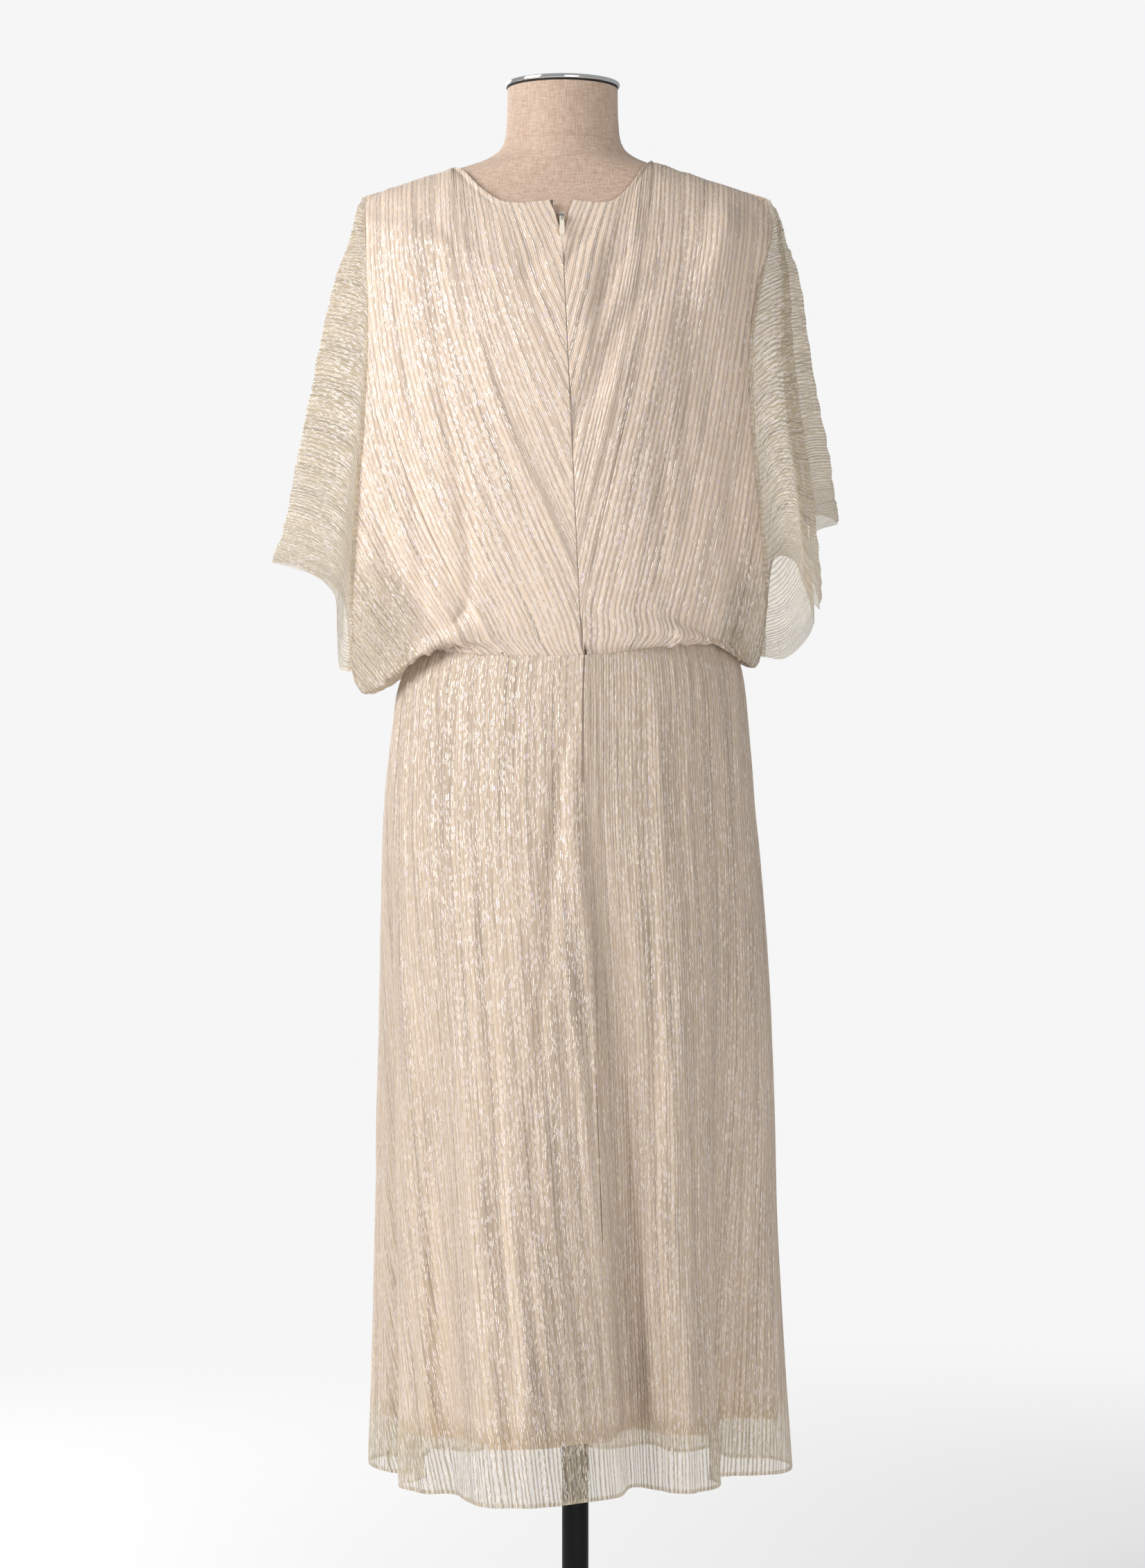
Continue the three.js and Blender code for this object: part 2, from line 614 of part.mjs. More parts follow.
// A geometry from points and triangles, turned so that its faces point out.
function orient(positions, index) {
  const at = (k) => new THREE.Vector3().fromArray(positions, 3 * k);
  let volume = 0;
  for (let k = 0; k < index.length; k += 3) {
    volume += at(index[k]).dot(at(index[k + 1]).cross(at(index[k + 2])));
  }
  const faces = volume < 0 ? index.slice().reverse() : index;
  const geometry = new THREE.BufferGeometry();
  geometry.setAttribute("position", new THREE.Float32BufferAttribute(positions, 3));
  geometry.setIndex(faces);
  return geometry;
}

// The dress's pieces as grids
const doubled = (count) => 2 * count;
const pieces = {};

function addPiece(name, grid, outward, options) {
  pieces[name] = { grid, normals: gridNormals(grid, outward), thick: CLOTH_WALL, ...options };
}

// At the shoulder seam the walls end in faces that stand square to the seam's slope.
function squareShoulders(name, sideOf) {
  const { grid, normals } = pieces[name];
  grid.forEach((column, i) => {
    const side = sideOf(column[0].x);
    const reach = handOf(side) * (column[0].x - FORM_X);
    if (reach < NECK_REACH[side] - 1) return;
    normals[i][0].set(handOf(side) * SHOULDER_SLOPE, 0, 1).normalize();
  });
}

// The bodice's side seams lie in the plane y = 0.
function squareSides(name) {
  const { grid, normals } = pieces[name];
  grid.forEach((column, i) =>
    column.forEach((point, j) => {
      if (point.y === 0) normals[i][j].setY(0).normalize();
    }),
  );
}

// At the waist seam the walls end in level faces.
function levelWaist() {
  for (const { grid, normals, waistRow } of Object.values(pieces)) {
    const row = waistRow === "first" ? 0 : grid[0].length - 1;
    if (waistRow) normals.forEach((column) => column[row].setZ(0).normalize());
  }
}

// Pleats flatten at the neckline and deepen into gathers beside the middle at the waist.
function bodiceRidge(acrossOf, levels) {
  return (i, j) => {
    const across = acrossOf(i);
    const level = levels[j];
    const band = smoothstep(across, 0.3, 0.5) * (1 - smoothstep(across, 0.8, 1));
    const near = smoothstep(level, 5, 9) * (1 - 0.8 * smoothstep(level, 11, 12));
    return PLEAT_HEIGHT + (GATHER_HEIGHT - PLEAT_HEIGHT) * band * near;
  };
}

for (const side of ["left", "right"]) {
  const grid = bodiceGrid(side, -1, doubled(BACK_PLEATS), LEVELS);
  const ridge = bodiceRidge((i) => i / doubled(BACK_PLEATS), LEVELS);
  addPiece(`bodice_back_${side}`, grid, -handOf(side), { ridge, waistRow: "last" });
}

{
  const half = FRONT_PLEATS;
  const left = bodiceGrid("left", 1, half, LEVELS);
  const right = bodiceGrid("right", 1, half, LEVELS);
  const grid = [...left.slice(1).reverse(), ...right];
  const ridge = bodiceRidge((i) => Math.abs(i - half) / half, LEVELS);
  addPiece("bodice_front", grid, 1, { ridge, waistRow: "last" });
}

// A sleeve hangs between the back's and the front's armhole edges. Its rows meet them at the
// bodice's own points, or on the straight lines between them.
const sleeveGrowth = rowReader(SLEEVE_GROWTH, "share");
const SLEEVE_LEVELS = [...SLEEVE_TOP_LEVELS];
for (let row = SLEEVE_ROWS_PER_LEVEL; row <= UNDERARM_LEVEL * SLEEVE_ROWS_PER_LEVEL; row += 1) {
  SLEEVE_LEVELS.push(Math.min(row / SLEEVE_ROWS_PER_LEVEL, SLEEVE_END_LEVEL));
}

function armholeEdge(name, columnOf) {
  const piece = pieces[name];
  const column = columnOf(piece.grid.length - 1);
  const between = (values, level) => {
    let k = 0;
    while (level > LEVELS[k + 1]) k += 1;
    const share = (level - LEVELS[k]) / (LEVELS[k + 1] - LEVELS[k]);
    return values[k].clone().lerp(values[k + 1], share);
  };
  return {
    at: (level) => between(piece.grid[column], level),
    normalAt: (level) => between(piece.normals[column], level).normalize(),
  };
}

function sleeveGrid(side) {
  const hand = handOf(side);
  const back = armholeEdge(`bodice_back_${side}`, (last) => last);
  const front = armholeEdge("bodice_front", (last) => (hand < 0 ? 0 : last));
  const spread = rowReader(SLEEVE_HEMS[side], "share");
  const grid = [];
  const edgeNormals = { back: [], front: [] };
  const tip = back.at(0);
  const drop = tip.z - back.at(UNDERARM_LEVEL).z;
  for (const level of SLEEVE_LEVELS) {
    const a = back.at(level);
    const b = front.at(level);
    const down = (tip.z - a.z) / drop;
    const grow = sleeveGrowth(down)[side];
    const crown = 1 - smoothstep(level, SLEEVE_TOP_LEVELS[0], 1.5);
    edgeNormals.back.push(back.normalAt(level));
    edgeNormals.front.push(front.normalAt(level));
    const row = [];
    for (let m = 0; m <= SLEEVE_STEPS; m += 1) {
      const round = m / SLEEVE_STEPS;
      const off = spread(round);
      const point = a.clone().lerp(b, round);
      const arch = Math.sin(Math.PI * round);
      point.add(new THREE.Vector3(off.x * grow, off.y * down, off.z * down * down));
      point.z += crown * arch * (tip.z - a.z);
      point.x += hand * crown * arch * SLEEVE_CROWN;
      const form = formSideAt(point.y, point.z, REST_GAP + CLOTH_WALL / 2 + arch);
      const out = hand * (point.x - form.middle);
      if (form.reach > 0 && out < form.reach) point.x = form.middle + hand * form.reach;
      row.push(point);
    }
    grid.push(row);
  }
  return { grid, edgeNormals };
}

shareNormals(Object.values(pieces));
squareShoulders("bodice_back_left", () => "left");
squareShoulders("bodice_back_right", () => "right");
squareShoulders("bodice_front", (x) => (x < FORM_X ? "left" : "right"));
Object.keys(pieces).forEach(squareSides);
for (const side of ["left", "right"]) {
  const { grid, edgeNormals } = sleeveGrid(side);
  addPiece(`sleeve_${side}`, grid, handOf(side), { ridge: () => PLEAT_HEIGHT, inset: SEAM_GAP });
  const piece = pieces[`sleeve_${side}`];
  piece.normals.forEach((row, k) => {
    row[0].copy(edgeNormals.back[k]);
    row[SLEEVE_STEPS].copy(edgeNormals.front[k]);
  });
}

// The skirt's panels and its lining
const SKIRT_SHARES = [0, 0.035, 0.1, 0.2, 0.33, 0.46, 0.59, 0.73, 0.87, 1];
const LINING_SHARES = [0, 0.05, 0.16, 0.34, 0.56, 0.78, 1];
const LINING_INSET = 3.4; // from the dress's cloth to the lining, at the waist
const LINING_EASE = 4; // and as much more at its hem

function addSkirtWall(name, places, shares, foot, inset, options) {
  const normals = places.map((run) => shares.map((share) => skirtNormal(run, share, foot)));
  const grid = places.map((run, i) =>
    shares.map((share, j) => {
      const point = skirtPoint(run, share, foot);
      return point.addScaledVector(normals[i][j], -inset(share));
    }),
  );
  pieces[name] = { grid, normals, thick: CLOTH_WALL, ...options };
}

const runs = hem.runs;
const SKIRT_PANELS = [
  { name: "skirt_back_right", from: runs[0], to: runs[RIGHT_SEAM], pleats: 18 },
  { name: "skirt_front", from: runs[RIGHT_SEAM], to: runs[LEFT_SEAM], pleats: 34 },
  { name: "skirt_back_left", from: runs[LEFT_SEAM], to: hemLength, pleats: 20 },
];
for (const { name, from, to, pleats } of SKIRT_PANELS) {
  const columns = doubled(pleats);
  const places = Array.from({ length: columns + 1 }, (_, i) => lerp(from, to, i / columns));
  const ridge = () => PLEAT_HEIGHT;
  addSkirtWall(name, places, SKIRT_SHARES, HEM_Z, () => 0, { ridge, waistRow: "first" });
}

// The lining follows the skirt's folds, moved in, with two steps for each row of the folds.
function addLining(name, foldRuns) {
  const places = foldRuns.flatMap((run, k) => {
    const next = foldRuns[k + 1];
    return next === undefined ? [run] : [run, (run + next) / 2];
  });
  const inset = (share) => LINING_INSET + LINING_EASE * share;
  addSkirtWall(name, places, LINING_SHARES, LINING_HEM_Z, inset, { thick: LINING_WALL });
}
const backRuns = runs.slice(LEFT_SEAM, -1).map((run) => run - hemLength);
addLining("lining_front", runs.slice(RIGHT_SEAM, LEFT_SEAM + 1));
addLining("lining_back", [...backRuns, ...runs.slice(0, RIGHT_SEAM + 1)]);
levelWaist();

// The zip's tape runs behind the centre back seam, from the bodice into the skirt.
const ZIP_IN = CLOTH_WALL / 2 + ZIP_GAP + ZIP_THICK / 2;

// A place behind the centre back line or beside it, from the panel of that side, whose inner face
// runs straight from its first column to its third.
function besideZip(right, left, j, x) {
  const panel = x < 0 ? left : right;
  const [seam, next] = [panel.grid[0][j], panel.grid[2][j]];
  const centre = (left.grid[0][j].x + right.grid[0][j].x) / 2;
  const share = x / (next.x - seam.x);
  const y = lerp(seam.y, next.y, share);
  const normal = panel.normals[0][j].clone().lerp(panel.normals[2][j], share);
  return new THREE.Vector3(centre + x, y, seam.z).addScaledVector(normal, -ZIP_IN);
}

function zipGrid() {
  const { bodice_back_left: left, bodice_back_right: right } = pieces;
  const skirt = pieces.skirt_back_right;
  const bodiceRows = LEVELS.map((_, j) => j);
  const used = bodiceRows.filter((j) => LEVELS[j] >= ZIP_TOP_LEVEL && LEVELS[j] < WAIST_LEVEL);
  const skirtRows = SKIRT_SHARES.map((_, j) => j).filter((j) => skirt.grid[0][j].z > ZIP_END_Z);
  const grid = [-1, 0, 1].map((hand) => {
    const x = (hand * ZIP_WIDTH) / 2;
    const inSkirt = (j) => {
      const point = skirt.grid[0][j].clone().addScaledVector(skirt.normals[0][j], -ZIP_IN);
      return point.setX(point.x + x);
    };
    return [...used.map((j) => besideZip(right, left, j, x)), ...skirtRows.map(inSkirt)];
  });
  const column = [
    ...used.map((j) => right.normals[0][j]),
    ...skirtRows.map((j) => skirt.normals[0][j]),
  ];
  return { grid, normals: [column, column, column], thick: ZIP_THICK };
}
pieces.zip_tape = zipGrid();

// The finishes
const finish = (colour, roughness, metalness = 0) =>
  new THREE.MeshStandardMaterial({ color: colour, roughness, metalness });
const FINISHES = {
  plisse: finish(0xd9cbb8, 0.55, 0.15),
  sheer: finish(0xe3dcc6, 0.55, 0.15),
  lining: finish(0xd9c3b1, 0.7),
  tape: finish(0xc7b7a4, 0.7),
  metal: finish(0xb8b4ae, 0.3, 0.9),
  cream: finish(0xe2d6c2, 0.5),
  linen: finish(0xb39a85, 0.9),
  chrome: finish(0xc9ccd0, 0.12, 1),
  black: finish(0x16161a, 0.4, 0.3),
};

const dress = new THREE.Group();

function addMesh(name, geometry, material, place = new THREE.Matrix4()) {
  const mesh = new THREE.Mesh(geometry, material);
  mesh.name = name;
  mesh.applyMatrix4(place);
  dress.add(mesh);
}

for (const [name, piece] of Object.entries(pieces)) {
  let material = FINISHES.plisse;
  if (name.startsWith("sleeve")) material = FINISHES.sheer;
  if (name.startsWith("lining")) material = FINISHES.lining;
  if (name === "zip_tape") material = FINISHES.tape;
  addMesh(name, wallGeometry(piece), material);
}

// The slider and its pull, in a frame of their own: x across the zip, y down the back along the
// cloth, z out of it, from the middle of the cloth's wall at the slider.
const SLIDER = { width: 4.6, length: 8, foot: -0.95, top: 1.8, round: 1.2 };
const BRIDGE = { width: 1.4, length: 5.2, height: 2.6, leg: 1, hole: 1.6 };
const PULL = { thick: 0.9, bar: 0.9, eye: 2, eyeLength: 4.2, half: 2.15, length: 20 };
PULL.axisY = BRIDGE.length / 2 - BRIDGE.leg - BRIDGE.hole / 2;
PULL.axisZ = SLIDER.top + BRIDGE.hole / 2;

const wasm = await Module();
wasm.setup();

function toSolid(geometry) {
  const bare = geometry.clone();
  bare.deleteAttribute("normal");
  bare.deleteAttribute("uv");
  const merged = mergeVertices(bare);
  const vertProperties = Float32Array.from(merged.attributes.position.array);
  const triVerts = Uint32Array.from(merged.index.array);
  return new wasm.Manifold(new wasm.Mesh({ numProp: 3, vertProperties, triVerts }));
}

function toGeometry(solid) {
  const mesh = solid.getMesh();
  const geometry = new THREE.BufferGeometry();
  geometry.setAttribute("position", new THREE.Float32BufferAttribute(mesh.vertProperties, 3));
  geometry.setIndex(Array.from(mesh.triVerts));
  return geometry;
}

function rounded(width, length, radius) {
  const shape = new THREE.Shape();
  const x = width / 2 - radius;
  const y = length / 2 - radius;
  const quarter = Math.PI / 2;
  shape.absarc(x, y, radius, 0, quarter);
  shape.absarc(-x, y, radius, quarter, 2 * quarter);
  shape.absarc(-x, -y, radius, 2 * quarter, 3 * quarter);
  shape.absarc(x, -y, radius, 3 * quarter, 4 * quarter);
  return shape;
}

const flat = (depth) => ({ depth, bevelEnabled: false, curveSegments: 4 });

function sliderGeometry() {
  const { foot, top } = SLIDER;
  const shape = rounded(SLIDER.width, SLIDER.length, SLIDER.round);
  const body = new THREE.ExtrudeGeometry(shape, flat(top - foot)).translate(0, 0, foot);
  const half = BRIDGE.length / 2;
  const inner = half - BRIDGE.leg;
  const arch = new THREE.Shape();
  arch.moveTo(-half, -1).lineTo(half, -1).lineTo(half, BRIDGE.height - BRIDGE.leg / 2);
  arch.lineTo(inner, BRIDGE.height).lineTo(-inner, BRIDGE.height);
  arch.lineTo(-half, BRIDGE.height - BRIDGE.leg / 2).closePath();
  const hole = new THREE.Path();
  hole.moveTo(-inner, 0).lineTo(-inner, BRIDGE.hole).lineTo(inner, BRIDGE.hole);
  hole.lineTo(inner, 0).closePath();
  arch.holes.push(hole);
  const bridge = new THREE.ExtrudeGeometry(arch, flat(BRIDGE.width));
  bridge.translate(0, 0, -BRIDGE.width / 2);
  const toYz = new THREE.Matrix4().set(0, 0, 1, 0, 1, 0, 0, 0, 0, 1, 0, SLIDER.top, 0, 0, 0, 1);
  return toGeometry(toSolid(body).add(toSolid(bridge.applyMatrix4(toYz))));
}

function pullGeometry() {
  const { bar, eye, eyeLength, half, length } = PULL;
  const end = length - half;
  const neck = eyeLength + bar;
  const shape = new THREE.Shape();
  shape.moveTo(-half * 0.9, -bar / 2).lineTo(half * 0.9, -bar / 2);
  shape.lineTo(half * 0.9, neck).lineTo(half, end);
  shape.absarc(0, end, half, 0, Math.PI);
  shape.lineTo(-half * 0.9, neck).closePath();
  const hole = new THREE.Path();
  hole.moveTo(-eye / 2, bar / 2).lineTo(-eye / 2, eyeLength).lineTo(eye / 2, eyeLength);
  hole.lineTo(eye / 2, bar / 2).closePath();
  shape.holes.push(hole);
  return new THREE.ExtrudeGeometry(shape, flat(PULL.thick)).translate(0, 0, -PULL.thick / 2);
}

// That frame on the back, on the straight line between the two rows that the slider lies between
function sliderFrame() {
  const column = pieces.bodice_back_right.grid[0];
  const row = LEVELS.findIndex((level) => level > SLIDER_LEVEL);
  const [above, below] = [column[row - 1], column[row]];
  const share = (SLIDER_LEVEL - LEVELS[row - 1]) / (LEVELS[row] - LEVELS[row - 1]);
  const origin = above.clone().lerp(below, share);
  origin.setX(centreX(origin.z));
  const down = below.clone().sub(above).setX(0).normalize();
  const out = new THREE.Vector3(0, down.z, -down.y);
  const across = down.clone().cross(out);
  return new THREE.Matrix4().makeBasis(across, down, out).setPosition(origin);
}

const onBack = sliderFrame();
const toPull = new THREE.Matrix4().makeTranslation(0, PULL.axisY, PULL.axisZ);
addMesh("zip_slider", sliderGeometry(), FINISHES.metal, onBack);
addMesh("zip_pull", pullGeometry(), FINISHES.cream, onBack.clone().multiply(toPull));

// The form's body, closed at both ends
function formGeometry() {
  const positions = [];
  const index = [];
  for (const ring of FORM_RINGS) {
    for (let k = 0; k < FORM_STEPS; k += 1) {
      const angle = (k * 2 * Math.PI) / FORM_STEPS;
      const side = Math.sin(angle);
      const reach = ring.depth * Math.sign(side) * Math.abs(side) ** (2 * ring.taper);
      positions.push(ring.x + ring.width * Math.cos(angle), ring.y + reach, ring.z);
    }
  }
  const last = FORM_RINGS.length - 1;
  for (let row = 0; row < last; row += 1) {
    for (let k = 0; k < FORM_STEPS; k += 1) {
      const here = row * FORM_STEPS + k;
      const next = row * FORM_STEPS + ((k + 1) % FORM_STEPS);
      index.push(here, next, next + FORM_STEPS, here, next + FORM_STEPS, here + FORM_STEPS);
    }
  }
  for (const row of [0, last]) {
    const ring = FORM_RINGS[row];
    const hub = positions.length / 3;
    positions.push(ring.x, ring.y, ring.z);
    for (let k = 0; k < FORM_STEPS; k += 1) {
      const here = row * FORM_STEPS + k;
      const next = row * FORM_STEPS + ((k + 1) % FORM_STEPS);
      if (row === 0) index.push(hub, next, here);
      else index.push(hub, here, next);
    }
  }
  return orient(positions, index);
}

// An upright round piece, from its foot to its top
function upright(radius, foot, top, x, steps) {
  const geometry = new THREE.CylinderGeometry(radius, radius, top - foot, steps);
  geometry.rotateX(Math.PI / 2);
  geometry.translate(x, 0, (foot + top) / 2);
  return geometry;
}

addMesh("form_bust", formGeometry(), FINISHES.linen);
addMesh("form_cap", upright(CAP_RADIUS, FORM_TOP_Z, FORM_TOP_Z + CAP_THICK, FORM_X, 40), FINISHES.chrome);
addMesh("form_pole", upright(POLE_RADIUS, BASE_THICK, FORM_FOOT_Z, 0, 24), FINISHES.black);
addMesh("form_base", upright(BASE_RADIUS, 0, BASE_THICK, 0, 48), FINISHES.black);

export default dress;
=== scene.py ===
# A plisse midi dress with draped sleeves, on a limbless dress form with a pole and a round base.
# Sizes are in millimetres and become metres where a mesh is made. +Z is up, -Y is the dress's
# centre back and +X the wearer's right.
import math

import bpy
import numpy as np
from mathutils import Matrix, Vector


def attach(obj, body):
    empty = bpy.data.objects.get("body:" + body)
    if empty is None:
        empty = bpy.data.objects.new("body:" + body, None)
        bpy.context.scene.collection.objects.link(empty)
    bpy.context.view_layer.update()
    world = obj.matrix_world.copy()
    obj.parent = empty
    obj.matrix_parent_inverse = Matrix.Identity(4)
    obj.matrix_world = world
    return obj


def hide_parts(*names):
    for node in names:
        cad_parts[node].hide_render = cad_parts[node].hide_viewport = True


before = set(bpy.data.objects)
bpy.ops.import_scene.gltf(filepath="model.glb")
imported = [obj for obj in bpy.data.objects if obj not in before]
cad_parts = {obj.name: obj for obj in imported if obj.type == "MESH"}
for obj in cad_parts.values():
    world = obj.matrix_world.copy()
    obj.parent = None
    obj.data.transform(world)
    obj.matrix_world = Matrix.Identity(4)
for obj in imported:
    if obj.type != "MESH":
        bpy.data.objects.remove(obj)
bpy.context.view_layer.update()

MM = 0.001
DRESS_BODY = "dress"


# Tables and curves
def table(columns, *rows):
    """A table with named columns, as one array for each."""
    return dict(zip(columns.split(), np.array(rows, float).T))


def hermite(t, a, b, slope_a, slope_b):
    """A smooth curve from a to b as t goes from 0 to 1, with its slopes at both."""
    rest = 1 - t
    return (
        a * (1 + 2 * t) * rest * rest
        + slope_a * t * rest * rest
        + b * t * t * (3 - 2 * t)
        - slope_b * t * t * rest
    )


def reader(rows, key, loop=False):
    """Smooth curves through a table's columns, read at any values of its key column."""
    xs = rows[key]
    step = np.diff(xs)
    slopes = {}
    for name in rows:
        secant = np.diff(rows[name]) / step
        first, last = secant[0], secant[-1]
        if loop:
            first = last = (secant[0] + secant[-1]) / 2
        slopes[name] = np.concatenate([[first], (secant[1:] + secant[:-1]) / 2, [last]])

    def read(value, names=None):
        x = np.clip(value, xs[0], xs[-1])
        k = np.clip(np.searchsorted(xs, x) - 1, 0, len(step) - 1)
        t = (x - xs[k]) / step[k]
        found = {}
        for name in names or [column for column in rows if column != key]:
            ys, slope = rows[name], slopes[name]
            found[name] = hermite(t, ys[k], ys[k + 1], slope[k] * step[k], slope[k + 1] * step[k])
        return found

    return read


def lerp(a, b, share):
    return a + (b - a) * share


def smoothstep(value, low, high):
    t = np.clip((value - low) / (high - low), 0, 1)
    return t * t * (3 - 2 * t)


def unit(vectors):
    length = np.linalg.norm(vectors, axis=-1, keepdims=True)
    return vectors / np.maximum(length, 1e-9)


def stacked(x, y, z):
    """Points from their coordinates, spread to one shape."""
    return np.stack(np.broadcast_arrays(x, y, z), -1)


def waves(seed, x, y, x_length, y_length, count=6):
    """A smooth uneven field from -1 to 1, with about these lengths along x and y."""
    rng = np.random.default_rng(seed)
    total = np.zeros(np.broadcast(x, y).shape)
    for _ in range(count):
        kx, ky = rng.uniform(0.55, 1.7, 2) / (x_length, y_length)
        total += np.sin(2 * np.pi * (kx * x + ky * rng.choice([-1, 1]) * y + rng.uniform()))
    return total / math.sqrt(2 * count)


# The dress form
FORM_X = -12
POLE_RADIUS = 12.5
BASE_RADIUS = 170
BASE_THICK = 8
FORM_FOOT_Z = 790
FORM_TOP_Z = 1558
CAP_THICK = 4
CAP_RADIUS = 54
NECK_RADIUS = 52
NECK_SEAM_Z = 1505.5
FORM_RINGS = table(
    "z width depth x y taper",
    (790, 146, 100, 0, 2, 0.5),
    (860, 158, 104, -1, 1, 0.5),
    (940, 148, 100, -3, 2, 0.5),
    (1022, 122, 92, -5, 4, 0.5),
    (1100, 130, 97, -7, 6, 0.5),
    (1200, 147, 112, -9, 8, 0.5),
    (1290, 154, 104, -10, 2, 0.5),
    (1350, 168, 91, -11, -4, 0.5),
    (1400, 184, 76, -12, -6, 0.52),
    (1428, 189, 64, -12, -5, 0.58),
    (1444, 186, 57, -12, -4, 0.66),
    (1455, 174, 54, -12, -3, 0.72),
    (1465.2, 149, 54, -12, -2, 0.76),
    (1473.2, 124, 54.5, -12, -2, 0.78),
    (1480.4, 101, 55, -12, -2, 0.78),
    (1487.9, 77, 54, -12, -1, 0.72),
    (1496, 62, 53, -12, 0, 0.6),
    (1506, 55.5, 52.5, -12, 0, 0.52),
    (1522, 53, 52, -12, 0, 0.5),
    (1558, 52, 52, -12, 0, 0.5),
)
form_ring = reader(FORM_RINGS, "z")


def form_reach(x, z, gap):
    """How far the form, grown by a gap, reaches behind or in front of its middle."""
    ring = form_ring(z - gap)
    across = (x - ring["x"]) / (ring["width"] + gap)
    inside = np.maximum(1 - across * across, 0)
    return ring["y"], np.where(inside > 0, (ring["depth"] + gap) * inside ** ring["taper"], 0)


def form_side(y, z, gap):
    """The same sideways."""
    ring = form_ring(z - gap)
    along = np.abs((y - ring["y"]) / (ring["depth"] + gap))
    inside = np.maximum(1 - along ** (1 / ring["taper"]), 0)
    return ring["x"], (ring["width"] + gap) * np.sqrt(inside)


# The skirt
WAIST_Z = 1018
WAIST_TILT = 0.045
WAIST_CURVE = 0.00075
HEM_Z = 249
LINING_HEM_Z = 300
SEAM_GAP = 0.3
SKIRT_TOP_Z = 1022
SKIRT_RINGS = table(
    "z width depth x y",
    (249, 176, 148, -7, 0),
    (468, 178, 141, -6, 0),
    (573, 180.5, 138, -3.5, 0),
    (678, 180.5, 134, -3, 0),
    (783, 178.5, 129, -4.5, 0),
    (862, 174.5, 125, -6, 1),
    (940, 168.5, 120, -5, 1),
    (992, 161, 114, -4, 2),
    (1022, 148, 109, -2, 2),
)
HEM_FOLDS = table(
    "turn x y",
    (4, 40, -120), (11, 57, -72), (20, 84, -98), (28, 108, -103), (40, 135, -64),
    (51, 128, -24), (62, 166, -14), (76, 196, -2), (90, 207, 32), (101, 190, 74),
    (112, 150, 84), (124, 134, 132), (136, 98, 112), (149, 74, 154), (161, 30, 126),
    (174, 0, 160), (187, -40, 128), (199, -72, 156), (212, -100, 112), (225, -138, 130),
    (237, -150, 82), (250, -188, 86), (262, -198, 50), (274, -178, 6), (284, -142, -18),
    (296, -164, -66), (307, -138, -103), (315, -112, -108), (323, -99, -138),
    (331, -82, -167), (342, -38, -172), (354, 6, -146), (364, 40, -120),
)
RIGHT_SEAM = 8  # the row of HEM_FOLDS at each side seam
LEFT_SEAM = 23
FOLD_TOP_Z = 930
FOLD_POWER = 1.4

skirt_ring = reader(SKIRT_RINGS, "z")
HEM_FOLDS["run"] = np.concatenate(
    [[0], np.cumsum(np.hypot(np.diff(HEM_FOLDS["x"]), np.diff(HEM_FOLDS["y"])))]
)
hem_fold = reader(HEM_FOLDS, "run", loop=True)
HEM_LENGTH = HEM_FOLDS["run"][-1]


def waist_z(x):
    return WAIST_Z + WAIST_TILT * x + WAIST_CURVE * x * x


def skirt_ring_point(z, turn):
    ring = skirt_ring(z)
    angle = np.radians(turn)
    x = ring["x"] + ring["width"] * np.sin(angle)
    y = ring["y"] - ring["depth"] * np.cos(angle)
    return stacked(x, y, z)


def skirt_point(run, share, foot):
    """run is the place along the hem, share goes from the waist, 0, to foot, 1."""
    fold = hem_fold(np.mod(run, HEM_LENGTH))
    top = skirt_ring_point(SKIRT_TOP_Z, fold["turn"])
    z = lerp(waist_z(top[..., 0]) - SEAM_GAP / 2, foot, share)
    nominal = lerp(SKIRT_TOP_Z, foot, share)
    plain = skirt_ring_point(nominal, fold["turn"])
    depth = np.clip((FOLD_TOP_Z - nominal) / (FOLD_TOP_Z - HEM_Z), 0, None) ** FOLD_POWER
    x = lerp(plain[..., 0], fold["x"], depth)
    y = lerp(plain[..., 1], fold["y"], depth)
    return stacked(x, y, z)


# The bodice. A level is a line round the body: 0 is the neckline and shoulder seam, 8 the
# underarm, 9 the lowest line of the blousing, 11 its rise over the seam, 12 the waist seam.
CLOTH_WALL = 1.2
REST_GAP = 0.5
DRAPE_GAP = 2.2
BLOUSE_GAP = 6.2
SHOULDER_Z = 1481
SHOULDER_REACH = 103
SHOULDER_SLOPE = 0.313
BACK_NECK_Z = 1439
FRONT_NECK_Z = 1396
WAIST_LEVEL = 12
UNDERARM_LEVEL = 8
MIDDLE = table(
    "level back_z back_y front_z front_y",
    (1, 1400, -89, 1372, 88),
    (2, 1366, -103, 1340, 107),
    (3, 1310, -115, 1298, 122),
    (4, 1240, -121, 1235, 132),
    (5, 1165, -122, 1165, 132),
    (6, 1110, -120, 1110, 126),
    (7, 1078, -118, 1078, 122),
    (8, 1060, -116, 1060, 119),
    (9, 1047, -114, 1047, 117),
    (10, 1036, -112, 1036, 115),
    (11, 1027, -110, 1027, 113),
)
